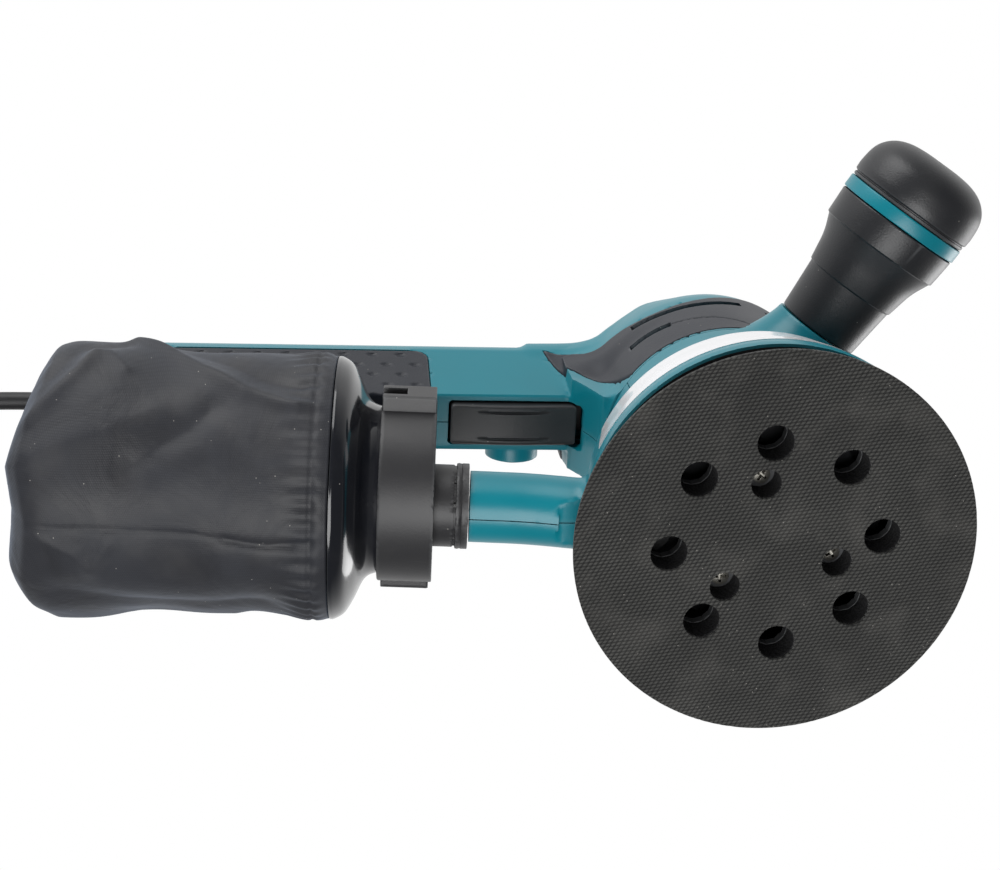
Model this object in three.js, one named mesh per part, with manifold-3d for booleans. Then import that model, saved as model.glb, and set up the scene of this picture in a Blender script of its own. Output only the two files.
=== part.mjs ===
// Random orbital sander: upright motor housing, in-line rear handle, swinging front knob,
// dust bag and cord.
// Millimetres. The origin is on the motor axis in the plane of the sanding face.
// +X is forward, +Y left, +Z up.
import * as THREE from 'three';
import { mergeVertices } from 'three/addons/utils/BufferGeometryUtils.js';
import Module from 'manifold-3d';

const wasm = await Module();
wasm.setup();

// ---- Driving dimensions ----
const gap = 0.3; // between neighbouring pieces
const wall = 2.8; // housing wall
const orbit = 1.4; // offset of the pad from the motor axis
const padR = 61.5;
const dustHole = { count: 8, ring: 32.5, r: 5.7, first: -5.2 };
const padScrew = { count: 3, ring: 20, wellR: 4.7, first: 16.5 };
const skirtZ = 17; // lower edge of the skirt
const collarZ = [50, 86]; // groove that the front grip's collar turns in
const grooveR = 38.3;
const bodyR = 41.5; // motor housing above the collar
const domeZ = 153.5;
const handle = { back: -199, top: 153, bottom: 107.5, half: 18, round: 12, corner: 13 };
const handleWaist = 135; // below this height the handle's sides taper inwards
const keelHalf = 9.9; // half width of the handle at its underside
const webHalf = 16.4; // half width of the web that joins the handle to the motor housing
const webBack = -50.5;
const ductR = 11;
const boreR = 8.8;
const ductEnd = [-91.5, 29.8];
const ductTilt = 4.5; // degrees that the duct's end rises towards the back
const trigger = { back: -91.8, front: -48.6, half: 7.2, bottom: 103.5, pin: [-88, 120] };
const lockAt = [-67.3, 133];
const dialAt = [-188.5, 144];
const guardTip = [-232, 125];
const knobAngle = -57.2; // direction of the front knob, degrees from +X
const knobZ = 84.5;
const cordR = 3.1;
const coil = { at: [-372, -43], outer: 46.5, inner: 26.6, height: 19.2 };

// ---- Materials ----
function plastic(color, roughness = 0.45) {
  return new THREE.MeshStandardMaterial({ color, roughness, metalness: 0 });
}
function metal(color, roughness = 0.35) {
  return new THREE.MeshStandardMaterial({ color, roughness, metalness: 1 });
}
const teal = plastic(0x007a8c, 0.4);
const blackPlastic = plastic(0x1c1e22);
const glossBlack = plastic(0x17191d, 0.2);
const rubber = plastic(0x24272d, 0.7);
const cloth = plastic(0x24262e, 0.85);
const paleLabel = plastic(0xe9ebee, 0.35);
const hookCloth = plastic(0x1d1d1c, 0.95);
const steel = metal(0xb8bcc2);
const darkSteel = metal(0x44464a, 0.45);
const copper = metal(0xb06a3a, 0.4);
const brass = metal(0xc4a24e);
const carbon = plastic(0x2a2a2a, 0.8);
const board = plastic(0x1f5a38, 0.6);

// ---- Solids ----
// A closed mesh with shared vertices, ready to be joined or cut.
function solid(geometry) {
  const bare = geometry.clone();
  bare.deleteAttribute('normal');
  bare.deleteAttribute('uv');
  const merged = mergeVertices(bare, 1e-4);
  const index = merged.index.array;
  const kept = [];
  for (let i = 0; i < index.length; i += 3) {
    const [a, b, c] = [index[i], index[i + 1], index[i + 2]];
    if (a !== b && b !== c && c !== a) kept.push(a, b, c);
  }
  const vertProperties = merged.attributes.position.array;
  return new wasm.Manifold(new wasm.Mesh({ numProp: 3, vertProperties, triVerts: new Uint32Array(kept) }));
}

function geometryOf(manifold) {
  const mesh = manifold.simplify(0.01).getMesh();
  const geometry = new THREE.BufferGeometry();
  geometry.setAttribute('position', new THREE.BufferAttribute(new Float32Array(mesh.vertProperties), 3));
  geometry.setIndex(new THREE.BufferAttribute(new Uint32Array(mesh.triVerts), 1));
  geometry.computeVertexNormals();
  return geometry;
}

const join = (...parts) => parts.reduce((whole, part) => whole.add(part));
const cut = (whole, ...tools) => tools.reduce((left, tool) => left.subtract(tool), whole);

// The largest body of a cut piece, without slivers.
function largest(manifold) {
  return manifold.decompose().reduce((a, b) => (b.volume() > a.volume() ? b : a));
}

// A body of revolution about Z. The profile runs anticlockwise in (radius, height),
// from axis to axis or closed.
function turned(profile, segments = 36) {
  const points = profile.map(([r, z]) => new THREE.Vector2(r, z));
  if (profile[0][0] > 0) points.push(points[0].clone());
  return new THREE.LatheGeometry(points, segments).rotateX(Math.PI / 2);
}

function rod(r, z0, z1, segments = 24) {
  return turned([[0, z0], [r, z0], [r, z1], [0, z1]], segments);
}

function ring(inner, outer, z0, z1, segments = 32) {
  return turned([[inner, z0], [outer, z0], [outer, z1], [inner, z1]], segments);
}

function block([x0, x1], [y0, y1], [z0, z1]) {
  const box = new THREE.BoxGeometry(x1 - x0, y1 - y0, z1 - z0);
  return box.translate((x0 + x1) / 2, (y0 + y1) / 2, (z0 + z1) / 2);
}

// A shape drawn in the side view (x, z), extruded across Y from y0 to y1, with rounded edges if round > 0.
function sidePlate(shape, [y0, y1], round = 0, steps = 3, curveSegments = 4) {
  const bevel = { bevelThickness: round, bevelSize: round, bevelOffset: -round, bevelSegments: steps };
  const options = { depth: y1 - y0 - 2 * round, bevelEnabled: round > 0, curveSegments, ...bevel };
  const plate = new THREE.ExtrudeGeometry(shape, options);
  return plate.rotateX(Math.PI / 2).translate(0, y1 - round, 0);
}

// A shape drawn in plan (x, y), extruded upwards from z0 to z1.
function planPlate(shape, [z0, z1], round = 0, steps = 2, curveSegments = 8) {
  const bevel = { bevelThickness: round, bevelSize: round, bevelOffset: -round, bevelSegments: steps };
  const options = { depth: z1 - z0 - 2 * round, bevelEnabled: round > 0, curveSegments, ...bevel };
  const plate = new THREE.ExtrudeGeometry(shape, options);
  return plate.translate(0, 0, z0 + round);
}

function crossRod(x, z, r, [y0, y1], segments = 16) {
  return rod(r, y0, y1, segments).rotateX(-Math.PI / 2).translate(x, 0, z);
}

function polygon(points) {
  return new THREE.Shape(points.map(([x, y]) => new THREE.Vector2(x, y)));
}

// An anticlockwise outline moved inwards by `inset`.
function inwards(points, inset) {
  return polygon(new wasm.CrossSection([points]).offset(-inset, 'Miter').toPolygons()[0]);
}

const around = (count, first, make) =>
  Array.from({ length: count }, (_, i) => make(THREE.MathUtils.degToRad(first + (360 * i) / count), i));

const sander = new THREE.Group();
sander.name = 'orbital_sander';

function add(name, shape, material, parent = sander) {
  const geometry = shape.isBufferGeometry ? geometryOf(solid(shape)) : geometryOf(shape);
  const mesh = new THREE.Mesh(geometry, material);
  mesh.name = name;
  parent.add(mesh);
  return mesh;
}

// ---- Housing ----
// Outer surface, grown outwards by `grow`, without the collar's groove.
function housingBody(grow) {
  const profile = [
    [0, skirtZ - grow], [58 + grow, skirtZ - grow], [58 + grow, 20], [54.6 + grow, 30],
    [51.2 + grow, 40], [47.9 + grow, 50], [44 + grow, 62], [42 + grow, 74], [bodyR + grow, 86],
    [bodyR + grow, 123], [40.8 + grow, 130], [39 + grow, 136.5], [35.6 + grow, 142.5],
    [30 + grow, 147.6], [20 + grow * 0.6, 151.8 + grow * 0.8], [0, domeZ + grow],
  ];
  return solid(turned(profile, 32));
}

function handleShape(inset) {
  const { back, top, bottom, corner } = handle;
  return polygon([
    [0, top - inset], [back + corner, top - inset], [back + 4, top - 4 - inset / 2],
    [back + inset, top - corner], [back + inset, bottom + corner], [back + 4, bottom + 4 + inset / 2],
    [back + corner, bottom + inset], [webBack + inset, bottom + inset], [-46 + inset, 98 + inset],
    [-42 + inset, 88 + inset], [0, 88 + inset],
  ]);
}

// The handle's cross-section, drawn as (y, z).
function handleSection(inset) {
  const { top, bottom, half, round } = handle;
  const quarter = Math.PI / 2;
  const section = new THREE.Shape();
  section.absarc(half - round, top - round, round - inset, 0, quarter);
  section.absarc(round - half, top - round, round - inset, quarter, 2 * quarter);
  section.lineTo(inset - half, handleWaist);
  section.lineTo(inset - keelHalf, bottom + 1 + inset);
  section.lineTo(inset - keelHalf + 1, bottom + inset);
  section.lineTo(keelHalf - 1 - inset, bottom + inset);
  section.lineTo(keelHalf - inset, bottom + 1 + inset);
  section.lineTo(half - inset, handleWaist);
  return section;
}

function handleBar(inset) {
  const depth = -handle.back + 10;
  const options = { depth, bevelEnabled: false, curveSegments: 4 };
  const bar = new THREE.ExtrudeGeometry(handleSection(inset), options);
  bar.rotateX(Math.PI / 2).rotateZ(Math.PI / 2).translate(-depth, 0, 0);
  const half = handle.half - inset;
  const web = block([webBack + inset, 0], [inset - webHalf, webHalf - inset], [80, 125]);
  return join(solid(bar), solid(web)).intersect(solid(sidePlate(handleShape(inset), [-half, half])));
}

// Where the handle's sides flare out into the motor housing, in plan.
function shoulderShape(inset) {
  const flank = [
    [-62, 17], [-48, 17.6], [-42, 19], [-37.5, 21.2], [-33.7, 24.4], [-27, 29.5], [-20, 33.6], [-8, 33],
  ];
  const left = flank.map(([x, y]) => [x, y - inset]);
  return polygon([...left.map(([x, y]) => [x, -y]), ...left.reverse()]);
}

function handleBody(grow) {
  const shoulder = planPlate(shoulderShape(-grow), [112 - grow, 143 + grow]);
  const crown = planPlate(shoulderShape(5 - grow), [142, 149.5 + grow]);
  const behindWeb = block([-80, webBack - grow], [-40, 40], [100, handleWaist - grow]);
  return join(handleBar(-grow), cut(solid(shoulder), solid(behindWeb)), solid(crown));
}

function ductPath(extra) {
  const [endX, endZ] = ductEnd;
  const slope = Math.tan(THREE.MathUtils.degToRad(ductTilt));
  return new THREE.CatmullRomCurve3([
    new THREE.Vector3(-44, 0, 21), new THREE.Vector3(-58, 0, 24.4),
    new THREE.Vector3(-74, 0, 28), new THREE.Vector3(endX - extra, 0, endZ + extra * slope),
  ]);
}

function tubeAlong(path, r, steps, divisions = 5) {
  const section = new THREE.Shape().absarc(0, 0, r, 0, 2 * Math.PI);
  const options = { steps, curveSegments: divisions, extrudePath: path, bevelEnabled: false };
  return new THREE.ExtrudeGeometry(section, options);
}

const outer = (grow) => join(housingBody(grow), handleBody(grow));

const cavity = join(
  solid(turned([
    [0, skirtZ - 1], [55.2, skirtZ - 1], [55.2, 20], [51.8, 30], [48.4, 40], [45.8, 47.2], [35.5, 47.2],
    [35.5, 88.8], [bodyR - wall, 88.8], [bodyR - wall, 122], [38, 130], [34.5, 138], [29, 144],
    [18, 148.8], [0, domeZ - wall],
  ], 28)),
  handleBar(wall),
);

const groove = solid(ring(grooveR, 70, collarZ[0], collarZ[1], 40));

// Outline of the rubber side panel on the motor housing, in side view. It tapers to a tip on the handle.
const panelOutline = [
  [-58, 135], [-52.5, 120], [-45, 108], [-39, 99.5], [-35, 90], [-33, 87.2], [14, 87.2], [30.5, 100],
  [31, 129], [24, 130.5], [15, 128.5], [7.3, 126], [0, 123.8], [-7, 122.1], [-13.9, 121.4],
  [-20.5, 121.1], [-25.5, 122.3], [-30.8, 125.4], [-36.8, 127.8], [-43.4, 128.2], [-50, 131.5],
];

// Outline of the rubber grip on each side of the handle, in side view.
const gripOutline = [[-192, 109.5], [-98.5, 109.5], [-98.5, 131], [-101.5, 134], [-192, 134]];

const ventSlots = [
  [[-29, 121], [-22, 118.5], [-14, 117.5], [-4, 116.5], [8.5, 117.5]],
  [[17.5, 117], [24, 116]],
  [[-31, 106.5], [-25, 105.5], [-18, 104]],
];

// A vent slot cut across Y, drawn about its centre line in side view.
function ventTool(line) {
  const halfWidth = 1.8;
  const lower = line.map(([x, z]) => [x, z - halfWidth]);
  const upper = line.map(([x, z]) => [x, z + halfWidth]);
  return sidePlate(polygon([...lower, ...upper.reverse()]), [-60, 60]);
}

const rubberDepth = 1.2;
const side = (sign) => solid(block([-260, 90], sign > 0 ? [4, 90] : [-90, -4], [0, 200]));
const across = (shape) => solid(sidePlate(shape, [-70, 70]));
const skin = outer(0.2).subtract(outer(-rubberDepth));
const recess = outer(1).subtract(outer(-rubberDepth - gap));

const panelCut = join(across(inwards(panelOutline, 0)), across(inwards(gripOutline, 0))).intersect(recess);

const bossPlaces = [[-186, 119.5], [-90, 147.2], [2, 144], [46, 37], [-47, 43]];
const screwHead = { r: 3.2, top: [11.5, 13, 27, 20, 10] };
const headWells = bossPlaces.map(([x, z], i) =>
  solid(crossRod(x, z, screwHead.r + 0.5, [screwHead.top[i] - 3, 70], 14)));

function housing() {
  let shell = join(outer(0), solid(tubeAlong(ductPath(0), ductR, 6, 5)));
  shell = cut(shell, groove, cavity);
  const bearingWeb = solid(turned([
    [9.9, 126], [13, 126], [13, 129], [37, 129], [37, 132], [13, 132], [13, 137], [9.9, 137],
  ], 32));
  const bosses = bossPlaces.map(([x, z]) => solid(crossRod(x, z, 4.2, [-60, 60])).intersect(outer(-0.4)));
  shell = join(shell, bearingWeb, ...bosses);
  const lockGuard = solid(crossRod(...lockAt, 9.4, [13, 20.7], 28));
  shell = shell.add(lockGuard);
  const { back, front, half } = trigger;
  const ductFloor = solid(rod(padR + 4.5, -5, skirtZ + 1, 36));
  return cut(
    shell,
    solid(rod(padR + 4, -5, skirtZ - 0.5, 36)),
    cut(solid(tubeAlong(ductPath(2), boreR, 6, 4)), ductFloor),
    panelCut.intersect(side(1)), panelCut.intersect(side(-1)),
    solid(block([back - 0.8, front + 1.8], [-half - 0.8, half + 0.8], [96, 119])),
    solid(crossRod(...lockAt, 6.2, [9, 30], 24)),
    solid(block([-210, dialAt[0] + 11], [-4.2, 4.2], [133.6, 160])),
    solid(rod(5.2, -12, 12, 20).rotateY(Math.PI / 2).translate(handle.back, 0, guardTip[1])),
    ...bossPlaces.map(([x, z]) => solid(crossRod(x, z, 2.1, [-5.5, 60], 12))),
    ...headWells,
  );
}

const shell = housing();
const seam = 0.15;
const halfSpace = (sign) => solid(block([-300, 200], sign > 0 ? [seam, 90] : [-90, -seam], [-10, 220]));
add('housing_left', largest(shell.intersect(halfSpace(1))), teal);
add('housing_right', largest(shell.intersect(halfSpace(-1))), teal);

const vents = ventSlots.map((line) => solid(ventTool(line)));
for (const [name, sign] of [['left', 1], ['right', -1]]) {
  const panel = across(inwards(panelOutline, gap)).intersect(skin).intersect(side(sign));
  add(`rubber_panel_${name}`, largest(cut(panel, ...vents)), rubber);
  const grip = across(inwards(gripOutline, gap)).intersect(skin).intersect(side(sign));
  add(`handle_grip_${name}`, largest(cut(grip, ...headWells)), rubber);
}

bossPlaces.forEach(([x, z], i) => {
  const top = screwHead.top[i];
  const screw = join(
    solid(crossRod(x, z, screwHead.r, [top - 2.7, top - 0.3], 14)),
    solid(crossRod(x, z, 1.7, [-5, top - 2], 10)),
  );
  const recessCut = solid(crossRod(x, z, 1.3, [top - 1.5, top + 1], 6));
  add(`housing_screw_${i + 1}`, screw.subtract(recessCut), darkSteel);
});

// Blank label: a thin band on the skirt's right side.
function labelBand() {
  const band = turned([[55.2, 30.5], [55.9, 30.5], [49.6, 48.9], [48.9, 48.9]], 56);
  const rightSide = polygon([[0, 0], [-80, -52], [-60, -90], [20, -110], [80, -48]]);
  return solid(band).intersect(solid(planPlate(rightSide, [20, 60])));
}
add('label_band', labelBand(), paleLabel);

// ---- Front grip: collar in two halves, and the knob ----
const knobDir = THREE.MathUtils.degToRad(knobAngle);
const grip = new THREE.Group();
grip.rotation.z = knobDir;
sander.add(grip);

// Everything below is drawn with the knob along +X.
const collarRing = solid(turned([
  [grooveR + gap, collarZ[0] + gap], [47.7, collarZ[0] + gap], [44, 62], [42, 74], [bodyR, 86.4],
  [grooveR + gap, 86.4],
], 40));

function alongKnob(profile, segments = 24) {
  return turned(profile, segments).rotateY(Math.PI / 2).translate(0, 0, knobZ);
}

const aboveCollar = solid(rod(bodyR + 0.8, 85.7, 200, 40));
const neck = solid(alongKnob([[0, 39], [18.5, 39], [16.5, 43.5], [15.2, 47.5], [14.6, 50.4], [0, 50.4]]));
const studStart = 43.4;
const studBore = (end) =>
  solid(alongKnob([[0, studStart - gap], [4.3, studStart - gap], [4.3, end], [0, end]], 20));
const insideCollar = solid(rod(grooveR + gap + 1, 40, 120, 40));
const front = solid(block([0, 70], [-70, 70], [40, 100]));
const rear = solid(block([-70, -gap], [-70, 70], [40, 100]));
const clampY = 41.4;
const clampZ = 56;
const clampHoles = [1, -1].map((s) =>
  solid(rod(1.7, -6, 10, 12).rotateY(-Math.PI / 2).translate(0, s * clampY, clampZ)));
const clampWells = [1, -1].map((s) =>
  solid(block([-30, -2.6], [s * clampY - 3.2, s * clampY + 3.2], [clampZ - 3.2, clampZ + 3.2])));
const frontHalf = join(collarRing.intersect(front), cut(neck, insideCollar));
add('grip_collar', cut(frontHalf, aboveCollar, studBore(53), ...clampHoles), teal, grip);
add('collar_strap', cut(collarRing.intersect(rear), aboveCollar, ...clampHoles, ...clampWells), teal, grip);
[1, -1].forEach((s, i) => {
  const screw = turned([[0, -4.7], [2.6, -4.7], [2.6, -2.9], [1.4, -2.9], [1.4, 5], [0, 5]], 12);
  screw.rotateY(Math.PI / 2).translate(0, s * clampY, clampZ);
  add(`collar_screw_${i + 1}`, screw, darkSteel, grip);
});

const knobBase = 50.8;
const knobSteps = [68.3, 84];
const bandAt = [94, 98.5];
const coreR = 17;
const coreEnd = 104;
add('knob_body', cut(
  solid(alongKnob([
    [0, knobBase], [14, knobBase], [14.6, 58], [15.5, knobSteps[0]], [15.9, knobSteps[0] + 0.6],
    [17.7, 78], [20.3, knobSteps[1]], [20.9, knobSteps[1] + 0.6], [21.5, bandAt[0] - gap],
    [coreR, bandAt[0] - gap], [coreR, coreEnd], [0, coreEnd],
  ])),
  studBore(78),
), rubber, grip);
add('knob_band', alongKnob([
  [coreR + gap, bandAt[0]], [21.8, bandAt[0]], [21.8, bandAt[1]], [coreR + gap, bandAt[1]],
]), teal, grip);
add('knob_cap', alongKnob([
  [0, coreEnd + gap], [coreR + gap, coreEnd + gap], [coreR + gap, bandAt[1] + gap],
  [21.6, bandAt[1] + gap], [22, 100.5], [22.1, 104], [21.4, 109], [19.6, 112.5], [16.4, 115.3],
  [12, 117], [0, 117.8],
]), rubber, grip);
add('knob_stud', alongKnob([[0, studStart], [4, studStart], [4, 77.5], [0, 77.5]], 16), steel, grip);

// ---- Sanding pad, turning about an axis that orbits the motor axis ----
const pad = new THREE.Group();
pad.position.x = -orbit;
sander.add(pad);

const spotOn = (ringR, a) => [ringR * Math.cos(a), ringR * Math.sin(a), 0];
const dustHoles = around(dustHole.count, dustHole.first, (a) =>
  solid(rod(dustHole.r, -5, 40, 12).translate(...spotOn(dustHole.ring, a))));
const screwSpot = (a) => spotOn(padScrew.ring, a);
const screwWells = around(padScrew.count, padScrew.first, (a) =>
  solid(rod(padScrew.wellR, -5, 11.5, 12).translate(...screwSpot(a))));
const shankHoles = around(padScrew.count, padScrew.first, (a) =>
  solid(rod(2.3, 5, 24, 8).translate(...screwSpot(a))));

const padDisc = (r0, r1, z0, z1) => solid(turned([[0, z0], [r0, z0], [r1, z1], [0, z1]], 48));
add('pad_hook_face', cut(padDisc(padR, padR, 0, 1.5), ...dustHoles, ...screwWells), hookCloth, pad);
const cushion = padDisc(padR - 0.2, padR - 4, 1.8, 10.9);
add('pad_cushion', cut(cushion, ...dustHoles, ...screwWells), blackPlastic, pad);
add('pad_plate', cut(padDisc(56.5, 55, 11.2, 14.2), ...dustHoles, ...shankHoles), blackPlastic, pad);
const hub = solid(turned([
  [0, 14.5], [25.5, 14.5], [25.5, 18], [20, 20], [20, 26], [16.3, 26], [16.3, 16.2], [0, 16.2],
], 28));
add('pad_hub', cut(hub, ...shankHoles), steel, pad);
around(padScrew.count, padScrew.first, (a, i) => {
  const head = solid(turned([
    [0, 7.8], [2.2, 7.9], [2.7, 8.8], [2.7, 10.8], [2, 10.8], [2, 18], [0, 18],
  ], 12));
  const cross = [[2, 0.45], [0.45, 2]].map(([w, d]) => solid(block([-w, w], [-d, d], [7, 9.2])));
  const screw = cut(head, ...cross);
  add(`pad_screw_${i + 1}`, screw, darkSteel, pad).position.set(...screwSpot(a));
});
add('pad_bearing', ring(6.3, 16, 16.6, 25.6, 32), steel, pad);
add('pad_brake_ring', ring(49.6, 52.6, 14.6, 21, 40), rubber);

// ---- Motor and fan ----
const bladeCount = 7;
function fan() {
  const disc = turned([
    [4.8, 27.5], [12, 27.5], [12, 30], [39.5, 30], [39.5, 32.5], [12, 32.5], [12, 46], [4.8, 46],
  ], 32);
  const blades = around(bladeCount, 0, (a) =>
    solid(block([14, 39], [-0.8, 0.8], [31.5, 43]).rotateZ(a)));
  const pin = solid(rod(6, 16.6, 28.5, 24).translate(-orbit, 0, 0));
  const weight = cut(solid(ring(14, 33, 26.6, 30.5, 28)), solid(block([-60, 6], [-60, 60], [20, 40])));
  const eccentric = cut(pin, solid(rod(4.8, 27, 30)));
  return join(solid(disc), ...blades, eccentric, solid(rod(6, 27.5, 28.4, 24)), weight);
}
add('eccentric_fan', fan(), metal(0x9a9da2, 0.5));
add('armature_shaft', turned([
  [0, 28.8], [4.4, 28.8], [4.4, 126], [3.5, 126], [3.5, 138], [0, 138],
], 20), steel);
add('armature_core', ring(4.8, 19, 66, 106, 32), copper);
add('commutator', ring(4.8, 11.5, 110, 121, 28), brass);
add('bearing_lower', ring(4.8, 13, 54, 62, 28), steel);
add('bearing_upper', ring(3.9, 9.6, 127, 135, 24), steel);
add('fan_baffle', turned([
  [10, 50.2], [34.8, 50.2], [34.8, 52.6], [17, 52.6], [17, 62], [13.3, 62], [13.3, 53.6], [10, 53.6],
], 28), blackPlastic);
add('field_core', ring(20.5, 31, 66, 106, 28), darkSteel);
[0, 180].forEach((turn, i) => {
  const holder = cut(
    solid(block([-6, 6], [13.5, 33], [110.5, 120.5])),
    solid(block([-3.3, 3.3], [10, 40], [112.3, 118.7])),
  );
  const brush = solid(block([-3, 3], [12, 24], [112.6, 118.4]));
  add(`brush_holder_${i + 1}`, holder.rotate([0, 0, turn]), brass);
  add(`carbon_brush_${i + 1}`, brush.rotate([0, 0, turn]), carbon);
});

// ---- Controls ----
function triggerBody() {
  const { back, front, half, bottom, pin } = trigger;
  const shape = new THREE.Shape();
  shape.moveTo(back, bottom + 1.5);
  shape.quadraticCurveTo((back + front) / 2, bottom - 1.2, front, bottom + 1.5);
  shape.lineTo(front, 114.5);
  shape.lineTo(-78, 116.5);
  shape.lineTo(-80, 124);
  shape.lineTo(back + 1, 124);
  shape.lineTo(back, 114);
  return cut(solid(sidePlate(shape, [-half, half], 1, 1)), solid(crossRod(...pin, 1.9, [-20, 20], 16)));
}
add('trigger', triggerBody(), blackPlastic);
add('trigger_pin', crossRod(...trigger.pin, 1.5, [-9.2, 9.2], 14), steel);
add('switch_unit', block([-76, -44], [-8.5, 8.5], [125, 141.5]), blackPlastic);
add('lock_button', crossRod(...lockAt, 5.8, [12, 22.4], 24), blackPlastic);
add('speed_board', block([-170, -112], [-11.5, 11.5], [126, 142]), board);

function dial() {
  const [tipR, rootR] = [12, 11.3];
  const rim = (r, a) => new THREE.Vector2(r * Math.cos(a), r * Math.sin(a));
  const teeth = 20;
  const step = Math.PI / teeth;
  const outline = around(teeth, 0, (a) => [
    rim(tipR, a), rim(tipR, a + step * 0.8), rim(rootR, a + step), rim(rootR, a + step * 1.8),
  ]).flat();
  const wheel = sidePlate(new THREE.Shape(outline), [-3.4, 3.4]);
  return cut(solid(wheel), solid(crossRod(0, 0, 2, [-9, 9], 12)));
}
add('speed_dial', dial(), blackPlastic).position.set(dialAt[0], 0, dialAt[1]);
add('dial_pin', crossRod(...dialAt, 1.6, [-9, 9], 10), steel);

// ---- Dust nozzle, frame and bag, drawn along the nozzle's own axis ----
const dust = new THREE.Group();
dust.position.set(ductEnd[0], 0, ductEnd[1]);
dust.rotation.y = -THREE.MathUtils.degToRad(90 - ductTilt);
sander.add(dust);

const bagUp = 12; // the bag's axis lies this far above the nozzle's
const collarSpan = [11, 28];
function nozzle() {
  const tube = turned([
    [ductR + gap, 0.4], [13.1, 0.4], [13.1, 2.6], [12.6, 2.8], [13.1, 3], [13.1, 4.2], [12.3, 4.6],
    [12.7, 5], [12.7, 13], [9, 13], [9, 9], [ductR + gap, 9],
  ], 24);
  const cup = ring(26.6, 28.6, ...collarSpan, 32).translate(bagUp, 0, 0);
  const disc = solid(rod(27.8, collarSpan[0], 13.4, 32).translate(bagUp, 0, 0));
  const plate = cut(disc, solid(rod(10, 0, 30, 24)));
  const latch = block([-5.8, 5.8], [-32.7, -27.6], [11.4, 27.6]).translate(bagUp, 0, 0);
  const latchSlot = block([-2.9, 2.9], [-36, -30.5], [20.3, 29]).translate(bagUp, 0, 0);
  const ridge = block([-7, 7], [26.9, 30.6], [12, 27]).translate(bagUp, 0, 0);
  return cut(join(solid(tube), solid(cup), plate, solid(latch), solid(ridge)), solid(latchSlot));
}
add('dust_nozzle', nozzle(), blackPlastic, dust);

add('bag_frame', turned([
  [24.2, 16], [26.2, 16], [26.2, 29], [29.4, 32.6], [37.5, 36.5], [41, 39.5], [41, 42], [39, 42],
  [35.5, 38], [27.4, 34.4], [24.2, 31],
], 32).translate(bagUp, 0, 0), glossBlack, dust);

add('dust_bag', turned([
  [0, 42.3], [41.5, 42.3], [42, 50], [42.5, 80], [42.3, 110], [41, 128], [36, 133.5], [22, 136.5],
  [0, 137],
], 28).translate(bagUp, 0, 0), cloth, dust);

// ---- Mains cord ----
const guardStart = handle.back - 0.6;
const [tipX, cordZ] = guardTip;
const guardLength = guardStart - tipX;
const sleeve = turned([
  [0, 0], [7, 0], [6.4, 8], [5.6, 20], [4.9, guardLength], [0, guardLength],
], 24).rotateY(-Math.PI / 2).translate(guardStart, 0, cordZ);
const sleeveFoot = turned([
  [0, 0], [6.4, 0], [6.4, 2.4], [4.7, 2.4], [4.7, 11], [0, 11],
], 16).rotateY(-Math.PI / 2).translate(handle.back + 8.2, 0, cordZ);
add('cord_guard', join(solid(sleeve), solid(sleeveFoot)), rubber);
add('cord_clamp', block([-183, -176], [-11, 11], [123.8, 127.6]), blackPlastic);

// The free stretch, from the guard's tip down to the surface and on to the coil.
const leadPoints = [
  [-232.3, 0, 125], [-246, 0, 124.6], [-260, 0, 122.6], [-274, 0, 118], [-287, 0, 110.4], [-298, 0, 100],
  [-306.5, 0, 87], [-312, 0, 72], [-315.5, 0, 56.5], [-319, 0, 41.5], [-324.5, 0, 28], [-333, 0, 16.6],
  [-344, 0, 8.8], [-356, 0, 4.7], [-368, 0, 3.5],
].map(([x, y, z]) => new THREE.Vector3(x, y, z));
const coilPort = solid(ring(0.01, coil.outer + gap, -1, coil.height + 3, 40).translate(...coil.at, 0));
const lead = tubeAlong(new THREE.CatmullRomCurve3(leadPoints), cordR, 20, 2);
add('cord_lead', largest(cut(solid(lead), coilPort)), blackPlastic);

add('cord_coil', ring(coil.inner, coil.outer, 1.6, coil.height, 36).translate(...coil.at, 0), blackPlastic);

const plugAt = [coil.at[0] - 48, coil.at[1] - 48];
const tailPoints = [
  [plugAt[0] + 1.2, coil.at[1] - 14, 5], [plugAt[0] + 0.2, coil.at[1] - 24, 6.4],
  [plugAt[0], coil.at[1] - 36, 9.4], [plugAt[0], plugAt[1] + gap, 11],
].map(([x, y, z]) => new THREE.Vector3(x, y, z));
const tail = tubeAlong(new THREE.CatmullRomCurve3(tailPoints), cordR, 5, 2);
add('cord_tail', largest(cut(solid(tail), coilPort)), blackPlastic);

function plugBody() {
  const shape = polygon([
    [6, 0], [7.5, -8], [17.5, -20], [17.5, -38], [-17.5, -38], [-17.5, -20], [-7.5, -8], [-6, 0],
  ]);
  return cut(
    solid(planPlate(shape, [0.4, 22], 2, 1).translate(0, -0.6, 0)),
    ...[-9.5, 9.5].map((x) => solid(rod(2.5, 0, 9, 12).rotateX(Math.PI / 2).translate(x, -31, 11))),
  );
}
add('plug_body', plugBody(), blackPlastic).position.set(...plugAt, 0);
[-9.5, 9.5].forEach((x, i) => {
  const pin = turned([[0, 0], [2.1, 0], [2.1, 24], [1.2, 25.5], [0, 25.5]], 12).rotateX(Math.PI / 2);
  add(`plug_pin_${i + 1}`, pin, brass).position.set(plugAt[0] + x, plugAt[1] - 31.4, 11);
});

function tie() {
  return cut(
    solid(block([coil.inner - 2.2, coil.outer + 1.6], [-6, 6], [0, coil.height + 1.6])),
    solid(block([coil.inner - 1.2, coil.outer + 0.4], [-8, 8], [1.2, coil.height + 0.4])),
  );
}
add('cord_tie', tie(), cloth).position.set(...coil.at, 0);

export default sander;
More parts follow.
